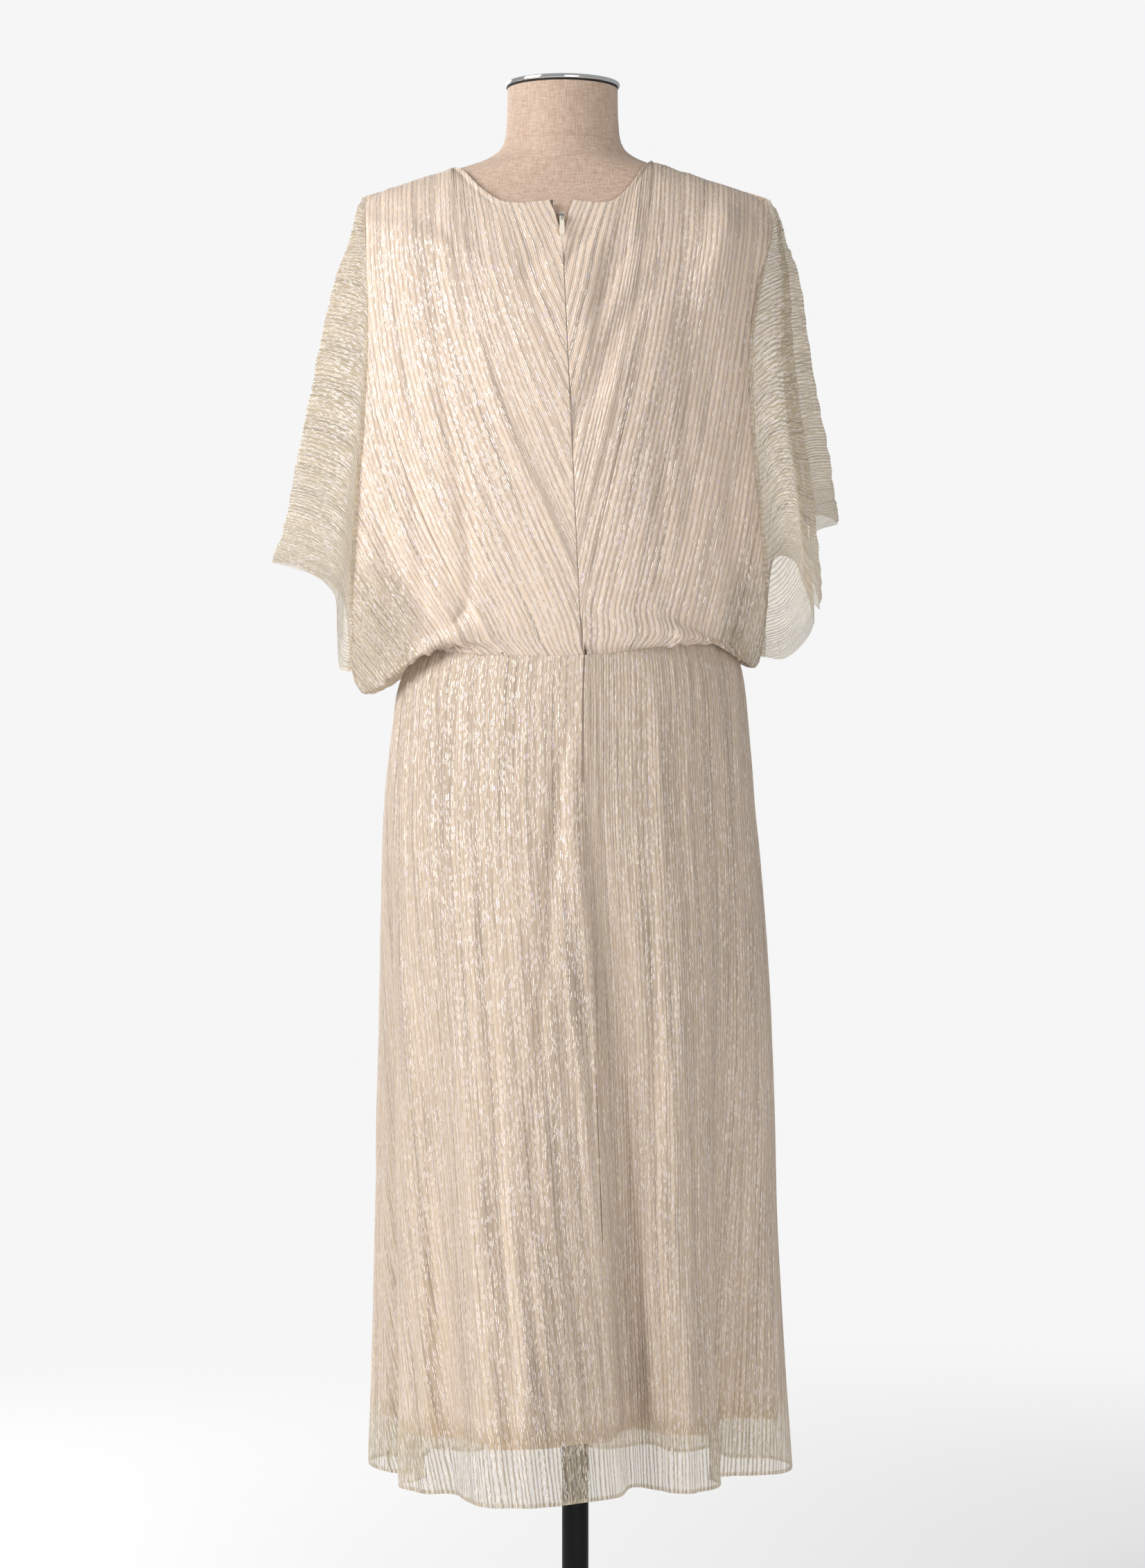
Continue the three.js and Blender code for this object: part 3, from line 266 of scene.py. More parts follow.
SIDES = {
    "left": table(
        "level x z back_y front_y",
        (1, -197, 1428, -28, 20),
        (2, -195, 1388, -40, 32),
        (3, -193, 1322, -46, 42),
        (4, -196, 1246, -50, 48),
        (5, -202, 1168, -50, 48),
        (6, -206, 1100, -46, 44),
        (7, -209, 1046, -32, 32),
        (8, -211, 1006, 0, 0),
        (9, -196, 986, 0, 0),
        (10, -171, 1008, 0, 0),
        (11, -156, 1036, 0, 0),
    ),
    "right": table(
        "level x z back_y front_y",
        (1, 184, 1424, -28, 20),
        (2, 176, 1388, -40, 32),
        (3, 163, 1322, -48, 44),
        (4, 163, 1240, -52, 50),
        (5, 170, 1165, -52, 50),
        (6, 176, 1098, -48, 46),
        (7, 178, 1050, -34, 34),
        (8, 175, 1020, 0, 0),
        (9, 169, 1011, 0, 0),
        (10, 164, 1027, 0, 0),
        (11, 154, 1049, 0, 0),
    ),
}
NECK_REACH = {"left": 103, "right": 84}
SHOULDER_TIP = {"left": 186, "right": 193}
NECK_CURVE = table(
    "share rise", (0, 0.05), (0.2, 0.02), (0.35, 0), (0.53, 0.08), (0.72, 0.4), (0.9, 0.84), (1, 1)
)
FRONT_NECK_POWER = 2.2
NECK_EASE = 3
NECK_EASE_POWER = 0.2
ZIP_FLARE = 10
ZIP_FLARE_POWER = 1.4
ZIP_HALF_GAP = 0.8  # from the centre line to each panel's folded edge
ZIP_END_Z = 900
ZIP_FLARE_SPREAD = 4  # the greater, the nearer to the zip it stays
ZIP_EDGE_SPREAD = 24
SIDE_DROP = (0.25, 0.95)  # across, where a level falls from the middle's height to the side's
WRAP_LEVELS = (6.5, 10)  # over these the cloth comes to wrap the body as a round section
CENTRE_TOP = {"x": -13, "z": 1433}
CENTRE_WAIST = {"x": 6, "z": 1018}
CORE_DROP = 30
CORE_STEP = 0.01
CORE_TRIES = 150

middle_at = reader(MIDDLE, "level")
side_at = {side: reader(rows, "level") for side, rows in SIDES.items()}
neck_rise = reader(NECK_CURVE, "share")
HAND = {"left": -1, "right": 1}


def centre_x(z):
    share = (CENTRE_TOP["z"] - z) / (CENTRE_TOP["z"] - CENTRE_WAIST["z"])
    return lerp(CENTRE_TOP["x"], CENTRE_WAIST["x"], share)


def clear_of_form(points, face, gap):
    """Moves points out of the form along lines from a place inside the form below them."""
    flat = points.reshape(-1, 3)
    gap = np.broadcast_to(gap, points.shape[:-1]).ravel()
    core_y = form_ring(flat[:, 2], ["y"])["y"]
    core_z = flat[:, 2] - CORE_DROP
    busy = np.arange(len(flat))
    for _ in range(CORE_TRIES):
        x, y, z = flat[busy].T
        middle, reach = form_reach(x, z, gap[busy])
        busy = busy[(reach > 0) & (face * (y - middle) < reach)]
        if not len(busy):
            return
        flat[busy, 1] += (flat[busy, 1] - core_y[busy]) * CORE_STEP
        flat[busy, 2] += (flat[busy, 2] - core_z[busy]) * CORE_STEP


def clear_of_skirt(points, moving):
    """Keeps the blousing's underside clear of the skirt that it hangs over."""
    below = waist_z(points[..., 0]) - points[..., 2]
    ring = skirt_ring(SKIRT_TOP_Z - below)
    x = (points[..., 0] - ring["x"]) / (ring["width"] + BLOUSE_GAP)
    y = (points[..., 1] - ring["y"]) / (ring["depth"] + BLOUSE_GAP)
    inside = np.hypot(x, y)
    moving = moving & (below >= 0) & (inside < 1)
    scale = np.where(moving, 1 / np.maximum(inside, 0.2), 1)
    points[..., 0] = ring["x"] + (points[..., 0] - ring["x"]) * scale
    points[..., 1] = ring["y"] + (points[..., 1] - ring["y"]) * scale


def top_point(side, face, across):
    """The neckline and shoulder seam, from the middle, 0, to the shoulder's end, 1."""
    hand, neck, tip = HAND[side], NECK_REACH[side], SHOULDER_TIP[side]
    start = (CENTRE_TOP["x"] - FORM_X) * hand if face < 0 else 0
    corner = np.minimum(across * tip / neck, 1)
    reach = np.where(corner < 1, lerp(start, neck, np.sin(corner * np.pi / 2)), across * tip)
    x = FORM_X + hand * reach
    seam_z = SHOULDER_Z - SHOULDER_SLOPE * (reach - SHOULDER_REACH)
    neck_z = SHOULDER_Z - SHOULDER_SLOPE * (neck - SHOULDER_REACH)
    share = np.clip(np.abs(reach) / neck, 0, 1)
    low = BACK_NECK_Z if face < 0 else FRONT_NECK_Z
    rise = neck_rise(share)["rise"] if face < 0 else share**FRONT_NECK_POWER
    z = np.where(corner < 1, lerp(low, neck_z, rise), seam_z)
    gap = REST_GAP + CLOTH_WALL / 2 + NECK_EASE * (1 - share) ** NECK_EASE_POWER
    middle, depth = form_reach(x, z, gap)
    y = np.where(corner < 1, middle + face * depth, form_ring(seam_z, ["y"])["y"])
    return stacked(x, y, z)


def column_controls(side, face, across):
    """The points at the whole levels of the curves down the cloth at these places across."""
    hand = HAND[side]
    cosine = np.where(across >= 1, 0, np.cos(across * np.pi / 2))
    bent = np.sin(across * np.pi / 2)
    ease = smoothstep(across, *SIDE_DROP)
    bow = 1 - across * across
    controls = [top_point(side, face, across)]
    for level in range(1, WAIST_LEVEL):
        mid, edge = middle_at(level), side_at[side](level)
        mid_z, mid_y, edge_y = mid["front_z"], mid["front_y"], edge["front_y"]
        mid_x = lerp(FORM_X, 0, level / WAIST_LEVEL)
        if face < 0:
            mid_z, mid_y, edge_y = mid["back_z"], mid["back_y"], edge["back_y"]
            mid_x = centre_x(mid_z)
        around = smoothstep(level, *WRAP_LEVELS)
        x = lerp(mid_x, edge["x"], lerp(across, bent, around))
        y = lerp(edge_y, mid_y, lerp(bow, cosine, around))
        controls.append(stacked(x, y, lerp(mid_z, edge["z"], ease)))
    turn = lerp(HEM_FOLDS["turn"][0] if face < 0 else 180 * hand, 90 * hand, across)
    waist = skirt_ring_point(np.full_like(turn, SKIRT_TOP_Z), turn)
    waist[..., 2] = waist_z(waist[..., 0]) + SEAM_GAP
    controls.append(waist)
    return np.stack(controls)


# The bodice's soft folds, each a trough, or a ridge where its depth is negative. across runs from
# the zip, or the front's middle, 0, to the side, 1.
FOLD_COLUMNS = "across level to_across to_level width depth"
# The shares of its length over which a fold grows and fades, and how far it fades
FOLD_ENDS = (-0.25, 0.2, 0.75, 1.3, 1.0)
CREASE_ENDS = (-0.15, 0.35, 0.95, 1.25, 0.7)
BODICE_FOLDS = {
    ("right", -1): table(
        FOLD_COLUMNS,
        (0.32, 0.15, 0.17, 2.7, 0.05, 9.5),
        (0.04, 4.1, 0.38, 2.3, 0.075, 6),
        (0.97, 0.3, 0.97, 2.7, 0.115, 10),
        (0.77, 0.3, 0.79, 2.7, 0.12, -14),
        (0.8, 2.2, 0.74, 4.0, 0.06, 4),
        (0.68, 2.6, 0.6, 5.2, 0.045, 3.5),
        (0.5, 4.2, 0.42, 7.0, 0.04, 3),
        (0.12, 0.7, 0.02, 1.6, 0.035, 3),
        (0.86, 4.6, 0.84, 8.2, 0.05, 5),
        (0.6, 9.2, 0.52, 11.2, 0.022, 4.5),
        (0.7, 9.0, 0.58, 11.3, 0.024, 5),
        (0.8, 8.8, 0.645, 11.2, 0.026, 5),
        (0.93, 8.8, 0.73, 11.3, 0.03, 5.5),
    ),
    ("left", -1): table(
        FOLD_COLUMNS,
        (0.06, 0.9, 0.2, 2.2, 0.06, 2.2),
        (0.3, 0.2, 0.22, 0.8, 0.04, 3.5),
        (0.58, 0.6, 0.47, 3.2, 0.035, 2.6),
        (0.7, 2.2, 0.5, 5.5, 0.035, 3.4),
        (0.82, 3.0, 0.66, 6.8, 0.04, 4),
        (0.5, 4.4, 0.44, 8.4, 0.035, 3.6),
        (0.86, 5.4, 0.78, 8.6, 0.05, 6),
        (0.52, 9.6, 0.44, 11.2, 0.022, 4.5),
        (0.6, 9.3, 0.5, 11.3, 0.022, 5),
        (0.68, 9.0, 0.555, 11.2, 0.024, 5),
        (0.78, 8.8, 0.62, 11.3, 0.026, 5.5),
        (0.9, 8.8, 0.7, 11.3, 0.03, 6),
    ),
    ("right", 1): table(
        FOLD_COLUMNS,
        (0.6, 0.5, 0.5, 3.4, 0.05, 5),
        (0.3, 2.4, 0.36, 5.4, 0.04, 3.6),
        (0.78, 3.0, 0.66, 7.4, 0.05, 5),
        (0.52, 5.0, 0.5, 8.6, 0.04, 4),
        (0.14, 4.6, 0.18, 8.0, 0.045, 3),
    ),
    ("left", 1): table(
        FOLD_COLUMNS,
        (0.7, 0.6, 0.56, 2.9, 0.05, 6),
        (0.42, 2.8, 0.46, 6.0, 0.04, 4),
        (0.84, 3.6, 0.7, 7.8, 0.05, 5.4),
        (0.6, 5.2, 0.58, 8.8, 0.04, 4),
        (0.22, 5.2, 0.24, 8.2, 0.045, 3),
    ),
}


def fold_depth(folds, across, down, ends):
    """How deep the cloth lies in a table of folds, each a row from its start to its end."""
    grow, grown, fade, faded, loss = ends
    depth = 0
    for start, top, end, foot, width, deep in zip(*folds.values()):
        share = (down - top) / (foot - top)
        off = (across - lerp(start, end, share)) / width
        strength = smoothstep(share, grow, grown) * (1 - loss * smoothstep(share, fade, faded))
        depth = depth + deep * strength * np.exp(-off * off)
    return depth


def bodice_plain(side, face, across, level):
    """The bodice's surface before it is moved off the form."""
    controls = column_controls(side, face, across)
    slopes = np.gradient(controls, axis=0)
    k = np.clip(np.ceil(level).astype(int) - 1, 0, WAIST_LEVEL - 1)

    def pick(values, at):
        return np.take_along_axis(values, at[None, ..., None], 0)[0]

    t = (level - k)[..., None]
    return hermite(t, pick(controls, k), pick(controls, k + 1), pick(slopes, k), pick(slopes, k + 1))


def bodice_point(side, face, across, level):
    across, level = np.broadcast_arrays(np.asarray(across, float), np.asarray(level, float))
    points = bodice_plain(side, face, across, level)
    points[..., 1] -= face * fold_depth(BODICE_FOLDS[side, face], across, level, FOLD_ENDS)
    if face < 0:
        flare = ZIP_FLARE * np.clip(1 - level, 0, None) ** ZIP_FLARE_POWER
        points[..., 0] += HAND[side] * flare * (1 - across) ** ZIP_FLARE_SPREAD
        points[..., 0] += HAND[side] * ZIP_HALF_GAP * (1 - across) ** ZIP_EDGE_SPREAD
    gap = REST_GAP + CLOTH_WALL / 2 + DRAPE_GAP * smoothstep(level, 0, 0.3)
    clear_of_form(points, face, gap)
    clear_of_skirt(points, (level > UNDERARM_LEVEL) & (level < WAIST_LEVEL) & (across < 1))
    return points


# The sleeves. Each hem is measured from the underarm point, from the back seam round to the front.
SLEEVE_HEMS = {
    "left": table(
        "share x y z",
        (0, 0, 0, 0),
        (0.08, -4, -18, 53),
        (0.2, -15, -34, 78),
        (0.35, -49, -24, 95),
        (0.5, -76, 2, 103),
        (0.65, -50, 34, 100),
        (0.77, -19, 44, 72),
        (0.86, -15, 29, 30),
        (0.94, -12, 9, 2),
        (1, 0, 0, 0),
    ),
    "right": table(
        "share x y z",
        (0, 0, 0, 0),
        (0.08, 8, -22, 84),
        (0.17, 28, -48, 88),
        (0.25, 36, -60, 66),
        (0.34, 52, -58, 42),
        (0.42, 44, -30, 84),
        (0.51, 50, -4, 116),
        (0.6, 74, 14, 127),
        (0.69, 50, 42, 134),
        (0.79, 44, 54, 76),
        (0.86, 53, 44, 32),
        (0.93, 27, 16, 0),
        (1, 0, 0, 0),
    ),
}
SLEEVE_GROWTH = table(
    "share left right",
    (0, 0, 0),
    (0.05, 0.12, 0.1),
    (0.14, 0.34, 0.42),
    (0.25, 0.54, 0.69),
    (0.45, 0.71, 0.88),
    (0.7, 0.82, 0.95),
    (0.85, 0.88, 0.94),
    (1, 1, 1),
)
SLEEVE_CROWN = 2  # how far its outside stands out at the shoulder's end
SLEEVE_FALL = 7  # how far its outside falls just off the shoulder's end
SLEEVE_END_LEVEL = 7.97
CROWN_LEVELS = (0.3, 1.5)  # where the crown ends
FALL_LEVELS = ((0, 0.4), (0.8, 2))  # where the fall begins and ends
sleeve_hem = {side: reader(rows, "share") for side, rows in SLEEVE_HEMS.items()}
sleeve_growth = reader(SLEEVE_GROWTH, "share")


def sleeve_point(side, round_, level):
    """A sleeve's surface: round_ goes from the back seam, 0, over the arm to the front seam, 1."""
    round_, level = np.broadcast_arrays(np.asarray(round_, float), np.asarray(level, float))
    hand = HAND[side]
    edge = np.ones_like(level)
    back = bodice_point(side, -1, edge, level)
    front = bodice_point(side, 1, edge, level)
    tip_z = top_point(side, -1, np.array(1.0))[2]
    foot_z = bodice_point(side, -1, 1.0, float(UNDERARM_LEVEL))[2]
    down = np.clip((tip_z - back[..., 2]) / (tip_z - foot_z), 0, 1)
    grow = sleeve_growth(down)[side]
    crown = 1 - smoothstep(level, *CROWN_LEVELS)
    begin, end = FALL_LEVELS
    arch = np.sin(np.pi * round_)
    off = sleeve_hem[side](round_)
    points = lerp(back, front, round_[..., None])
    points[..., 0] += off["x"] * grow + hand * crown * arch * SLEEVE_CROWN
    points[..., 1] += off["y"] * down
    points[..., 2] += off["z"] * down * down + crown * arch * (tip_z - back[..., 2])
    fall = smoothstep(level, *begin) * (1 - smoothstep(level, *end))
    points[..., 2] -= SLEEVE_FALL * arch * fall
    middle, reach = form_side(points[..., 1], points[..., 2], REST_GAP + CLOTH_WALL / 2 + arch)
    out = hand * (points[..., 0] - middle)
    hit = (reach > 0) & (out < reach)
    points[..., 0] = np.where(hit, middle + hand * reach, points[..., 0])
    return points


# Pleats. A pleated piece is a grid of columns that run along its pleats, four to a pleat.
PLEAT_PITCH = 4.3
PLEAT_STEPS = 4
PLEAT_HEIGHT = 0.48
PLEAT_SPREAD = 0.35  # how uneven the pleats' widths are
STREAK_HEIGHT = 0.5  # uneven low waves over many pleats
EDGE_CALM = 7  # over this length the pleats flatten to a seam or hem
CREST_POWER = 0.8  # under 1 rounds a pleat's top
STRENGTHS = (0.15, 0.75, 1.4)  # a pleat's least, middle and greatest height, as shares
STRENGTH_SPREAD = 0.45
STRENGTH_LENGTHS = (2.3, 160)  # pleats across and mm along, over which that changes
STREAK_LENGTHS = (7.5, 420)
FINE_STREAK_LENGTHS = (3, 160)
FINE_STREAKS = 0.3
TURN_RADIUS = 0.5  # of the cloth turned in at a seam or hem
TURN_ANGLES = (50, 90, 130, 180)
TURN_SHARES = (0.35, 1)
TURN_ROWS = len(TURN_ANGLES) + len(TURN_SHARES)


def pleat_places(seed, count):
    """Where each column starts, from 0 to 1, with pleats of uneven width, and its pleat number."""
    rng = np.random.default_rng(seed)
    widths = 1 + PLEAT_SPREAD * rng.uniform(-1, 1, count)
    starts = np.concatenate([[0], np.cumsum(widths)]) / widths.sum()
    number = np.arange(count * PLEAT_STEPS + 1) / PLEAT_STEPS
    return np.interp(number, np.arange(count + 1), starts), number


def crinkle(seed, number, along, calm, streaks, fine_share):
    """The pleats' height at a place, with low waves over many pleats, the streaks. number counts
    pleats, along is the length in mm."""
    number = np.broadcast_to(number, along.shape)
    profile = np.abs(np.sin(np.pi * number)) ** CREST_POWER - 0.5
    least, middle, greatest = STRENGTHS
    strength = middle + STRENGTH_SPREAD * waves(seed, number, along, *STRENGTH_LENGTHS)
    fine = PLEAT_HEIGHT * np.clip(strength, least, greatest) * profile
    groups = waves(seed + 1, number, along, *STREAK_LENGTHS)
    groups = groups + FINE_STREAKS * waves(seed + 4, number, along, *FINE_STREAK_LENGTHS)
    return (fine * fine_share + streaks * groups) * calm


# Gathers rise along the pleats to the waist seam, at uneven places, heights and lengths
GATHER_STEPS = (2.4, 5.6)  # pleats from one to the next
GATHER_WIDTHS = (1.0, 1.9)
GATHER_HEIGHTS = (1.2, 5.2)
GATHER_TOPS = (4.6, 9.4)  # the level where each starts
GATHER_FULL = 10.4  # the level where all are full
GATHER_POWER = 1.3
GATHER_END = (11, 12)  # the levels over which each sinks to the seam
GATHER_SINK = 0.55
GATHER_BAND = (0.28, 0.42, 0.8, 0.95)  # where they lie, across from the middle to the side
GATHER_SIDE_LOSS = 0.6


def gather_height(seed, number, across, level):
    rng = np.random.default_rng(seed)
    total = np.zeros(level.shape)
    place = number[0] + rng.uniform(*GATHER_STEPS)
    while place < number[-1]:
        ranges = (GATHER_WIDTHS, GATHER_HEIGHTS, GATHER_TOPS)
        width, height, top = (rng.uniform(*pair) for pair in ranges)
        grown = smoothstep(level, top, GATHER_FULL) ** GATHER_POWER
        grown *= 1 - GATHER_SINK * smoothstep(level, *GATHER_END)
        total += height * grown * np.exp(-(((number[:, None] - place) / width) ** 2))
        place += rng.uniform(*GATHER_STEPS)
    low, start, end, high = GATHER_BAND
    aside = 1 - GATHER_SIDE_LOSS * smoothstep(across, end, high)
    return total * smoothstep(across, low, start) * aside


def grid_normals(points, outward):
    across = np.gradient(points, axis=0)
    down = np.gradient(points, axis=1)
    return unit(np.cross(across, down)) * outward


def turned_in(points, normals, at_end, length, radius):
    """Rows that turn the cloth in over its first or last row, from that row on. The length and
    radius may differ from column to column."""
    length, radius = (np.broadcast_to(n, len(points))[:, None] for n in (length, radius))
    edge = points[:, -1 if at_end else 0]
    inner = points[:, -2 if at_end else 1]
    normal = normals[:, -1 if at_end else 0]
    inward = unit(np.cross(np.gradient(edge, axis=0), normal))
    inward *= np.sign(np.sum(inward * (inner - edge)))
    centre = edge - radius * normal
    rows = []
    for angle in np.radians(TURN_ANGLES):
        rows.append(centre + radius * (math.cos(angle) * normal - math.sin(angle) * inward))
    rows += [rows[-1] + length * share * inward for share in TURN_SHARES]
    return rows


def edged(points, normals, lengths, radii):
    """The grid with the cloth turned in over its first and last rows."""
    first = turned_in(points, normals, False, lengths[0], radii[0])
    last = turned_in(points, normals, True, lengths[1], radii[1])
    return np.concatenate([np.stack(first[::-1], 1), points, np.stack(last, 1)], 1)


def mesh_from_grid(name, points, uvs=None, lined=None, loop=False):
    """A smooth open mesh from a grid of points in mm, with a UV for each point."""
    columns, rows = points.shape[:2]
    index = np.arange(columns * rows).reshape(columns, rows)
    here = index if loop else index[:-1]
    beside = np.roll(index, -1, 0) if loop else index[1:]
    quads = np.stack([here[:, :-1], here[:, 1:], beside[:, 1:], beside[:, :-1]], -1).reshape(-1, 4)
    mesh = bpy.data.meshes.new(name)
    mesh.from_pydata((points.reshape(-1, 3) * MM).tolist(), [], quads.tolist())
    uvs = np.zeros((columns, rows, 2)) if uvs is None else uvs
    layer = mesh.uv_layers.new(name="pleats")
    layer.data.foreach_set("uv", uvs.reshape(-1, 2)[quads.ravel()].ravel())
    if lined is not None:
        mesh.attributes.new("lined", "FLOAT", "POINT").data.foreach_set("value", lined.ravel())
    mesh.polygons.foreach_set("use_smooth", [True] * len(mesh.polygons))
    mesh.validate()
    return mesh


def add_object(name, mesh, material, nodes=()):
    piece = bpy.data.objects.new(name, mesh)
    bpy.context.scene.collection.objects.link(piece)
    mesh.materials.append(material)
    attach(piece, DRESS_BODY)
    if nodes:
        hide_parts(*nodes)


def line_lengths(points):
    steps = np.linalg.norm(np.diff(points, axis=1), axis=-1)
    return np.concatenate([np.zeros((len(points), 1)), np.cumsum(steps, axis=1)], axis=1)


def add_pleated(node, material, seed, points, number, outward, turns, streaks=STREAK_HEIGHT,
                raised=0.0, calm=1.0, lined=0.0, radius=TURN_RADIUS, fine_share=1.0, slant=0.0):
    """A pleated piece in a solid's place, from points along its pleat lines. turns are the lengths
    turned in at their first and last row, raised is what lies under the pleats, such as gathers.
    With a slant, the pleats rise across the lines up to their middle and fall again to their end."""
    normals = grid_normals(points, outward)
    along = line_lengths(points)
    to_end = along[:, -1:] - along
    ends = smoothstep(along, -1, EDGE_CALM) * smoothstep(to_end, -1, EDGE_CALM)
    rise = slant * along[:, -1:] / math.pi * np.sin(math.pi * along / np.maximum(along[:, -1:], 1))
    number = number[:, None] + rise / PLEAT_PITCH
    height = crinkle(seed, number, along, calm * lerp(0.3, 1, ends), streaks, fine_share) + raised
    points = points + normals * height[..., None]
    whole = edged(points, grid_normals(points, outward), turns, (radius, radius))
    steps = np.arange(1, TURN_ROWS + 1)
    run = np.concatenate([along[:, :1] - steps[::-1], along, along[:, -1:] + steps], 1)
    number, lined = (
        np.pad(np.broadcast_to(values, along.shape), ((0, 0), (TURN_ROWS, TURN_ROWS)), "edge")
        for values in (number, lined)
    )
    uvs = np.stack([number, run * MM], -1)
    mesh = mesh_from_grid(f"{node}_cloth", whole, uvs, lined)
    add_object(mesh.name, mesh, material, [node])


# How the back's pleats lean in towards the zip, as their slope seen from behind
LEAN = {
    "left": table(
        "level zip middle side",
        (0, 0.2, 0.03, 0.0),
        (1, 0.32, 0.12, 0.02),
        (2, 0.42, 0.22, 0.06),
        (4, 0.46, 0.34, 0.22),
        (6, 0.44, 0.5, 0.6),
        (7, 0.42, 0.6, 0.85),
        (8.5, 0.38, 0.6, 0.9),
        (10, 0.2, 0.5, 0.9),
    ),
    "right": table(
        "level zip middle side",
        (0, 0.1, 0.02, 0.0),
        (1, 0.2, 0.1, 0.06),
        (2, 0.24, 0.15, 0.13),
        (4, 0.26, 0.2, 0.15),
        (6, 0.24, 0.24, 0.2),
        (7, 0.24, 0.26, 0.26),
        (9, 0.14, 0.3, 0.36),
    ),
}
LOW_DRIFT = 0.05  # how far lines move in across the blousing, for each level
LOW_LEVELS = {"left": (9.4, 11.4), "right": (7.4, 9.2)}  # where that takes over
LEAST_ENTRY = 0.05  # pleats that enter from the side, for each level
ENTRY_STEP = 0.25  # levels between lines that start at the side, at most
TRACE_STEPS = 120
BACK_ROWS = 84
lean_reader = {side: reader(rows, "level") for side, rows in LEAN.items()}


def lean_at(side, across, level):
    row = lean_reader[side](level)
    near = lerp(row["zip"], row["middle"], np.clip(across * 2, 0, 1))
    return np.clip(lerp(near, row["side"], np.clip(across * 2 - 1, 0, 1)), 0, None)


def drift(side, across, level):
    """How far a pleat line moves across as it goes one level down."""
    small = 0.01
    lean, hand = lean_at(side, across, level), HAND[side]
    here = bodice_plain(side, -1, across, level)
    aside = (here - bodice_plain(side, -1, across - small, level)) / small
    low = np.clip(level + small, 0, WAIST_LEVEL)
    down = (bodice_plain(side, -1, across, low) - here) / small
    slope = lean * down[..., 2] - hand * down[..., 0]
    slope = slope / np.maximum(hand * aside[..., 0] - lean * aside[..., 2], 20)
    return lerp(slope, -LOW_DRIFT * across, smoothstep(level, *LOW_LEVELS[side]))


def side_entries(side):
    """How many pleats enter from the side edge above each level."""
    levels = np.linspace(0, WAIST_LEVEL, TRACE_STEPS + 1)
    moved = np.clip(-drift(side, np.ones_like(levels), levels), 0, None)
    width = SHOULDER_TIP[side] / PLEAT_PITCH
    steps = np.diff(levels) * (moved[1:] + moved[:-1]) / 2
    return levels, np.concatenate([[0], np.cumsum(steps * width + np.diff(levels) * LEAST_ENTRY)])


def back_lines(side, seed):
    """The back's pleat lines: where each crosses the panel at each of its rows, and its number."""
    top_count = SHOULDER_TIP[side] / PLEAT_PITCH
    levels, entered = side_entries(side)
    count = int(round(top_count + entered[-1]))
    places, number = pleat_places(seed, count)
    own = places * (top_count + entered[-1])
    extra = top_count + np.interp(np.arange(0, WAIST_LEVEL, ENTRY_STEP), levels, entered)
    place = np.union1d(own, extra)
    number = np.interp(place, own, number)
    from_side = np.clip(place - top_count, 0, None)
    start = np.where(from_side > 0, np.interp(from_side, entered, levels), 0)
    across = np.where(from_side > 0, 1.0, place / top_count)
    traced = np.full((len(place), TRACE_STEPS + 1), np.nan)
    here = across.copy()
    for k in range(TRACE_STEPS):
        low, high = levels[k], levels[k + 1]
        begin = np.clip(start, low, high)
        traced[:, k] = here
        middle = here + drift(side, np.clip(here, 0, 1), begin) * (high - begin) / 2
        slope = drift(side, np.clip(middle, 0, 1), (begin + high) / 2)
        here = here + slope * (high - begin)
    traced[:, -1] = here
    shares = np.linspace(0, 1, BACK_ROWS + 1)
    rows_across = np.empty((len(place), BACK_ROWS + 1))
    rows_level = np.empty_like(rows_across)
    for k, path in enumerate(traced):
        out = np.nonzero(path < 0)[0]
        end = float(WAIST_LEVEL)
        if len(out):
            j = out[0]
            end = np.interp(0, [path[j], path[j - 1]], [levels[j], levels[j - 1]]) if j else 0.0
        end = max(end, start[k] + 0.01)
        rows_level[k] = lerp(start[k], end, shares)
        rows_across[k] = np.clip(np.interp(rows_level[k], levels, path), 0, 1)
        if len(out):
            rows_across[k, -1] = 0
    return rows_across, rows_level, number


# Materials
def node_tools(material):
    """Short ways to add a node with its inputs, to feed one input, and to add the nodes for a
    sum, a mix of two colours and a relief."""
    nodes, links = material.node_tree.nodes, material.node_tree.links

    def feed(socket, value):
        if isinstance(value, bpy.types.NodeSocket):
            links.new(value, socket)
        else:
            socket.default_value = value

    def add(kind, inputs=None, **settings):
        node = nodes.new(kind)
        for key, value in settings.items():
            setattr(node, key, value)
        for key, value in (inputs or {}).items():
            feed(node.inputs[key], value)
        return node

    def do(operation, a, b=0.0, c=0.0, clamp=False):
        inputs = {0: a, 1: b, 2: c}
        return add("ShaderNodeMath", inputs, operation=operation, use_clamp=clamp).outputs[0]

    def mix(share, a, b, blend="MIX"):
        inputs = {0: share, 6: a, 7: b}
        return add("ShaderNodeMix", inputs, data_type="RGBA", blend_type=blend).outputs[2]

    def relief(height, distance, strength):
        inputs = {"Height": height, "Distance": distance, "Strength": strength}
        return add("ShaderNodeBump", inputs).outputs[0]

    return add, feed, do, mix, relief


def new_material(name, colour, roughness, metallic=0.0):
    material = bpy.data.materials.new(name)
    material.use_nodes = True
    shader = material.node_tree.nodes["Principled BSDF"]
    shader.inputs["Base Color"].default_value = (*colour, 1)
    shader.inputs["Roughness"].default_value = roughness
    shader.inputs["Metallic"].default_value = metallic
    return material, shader


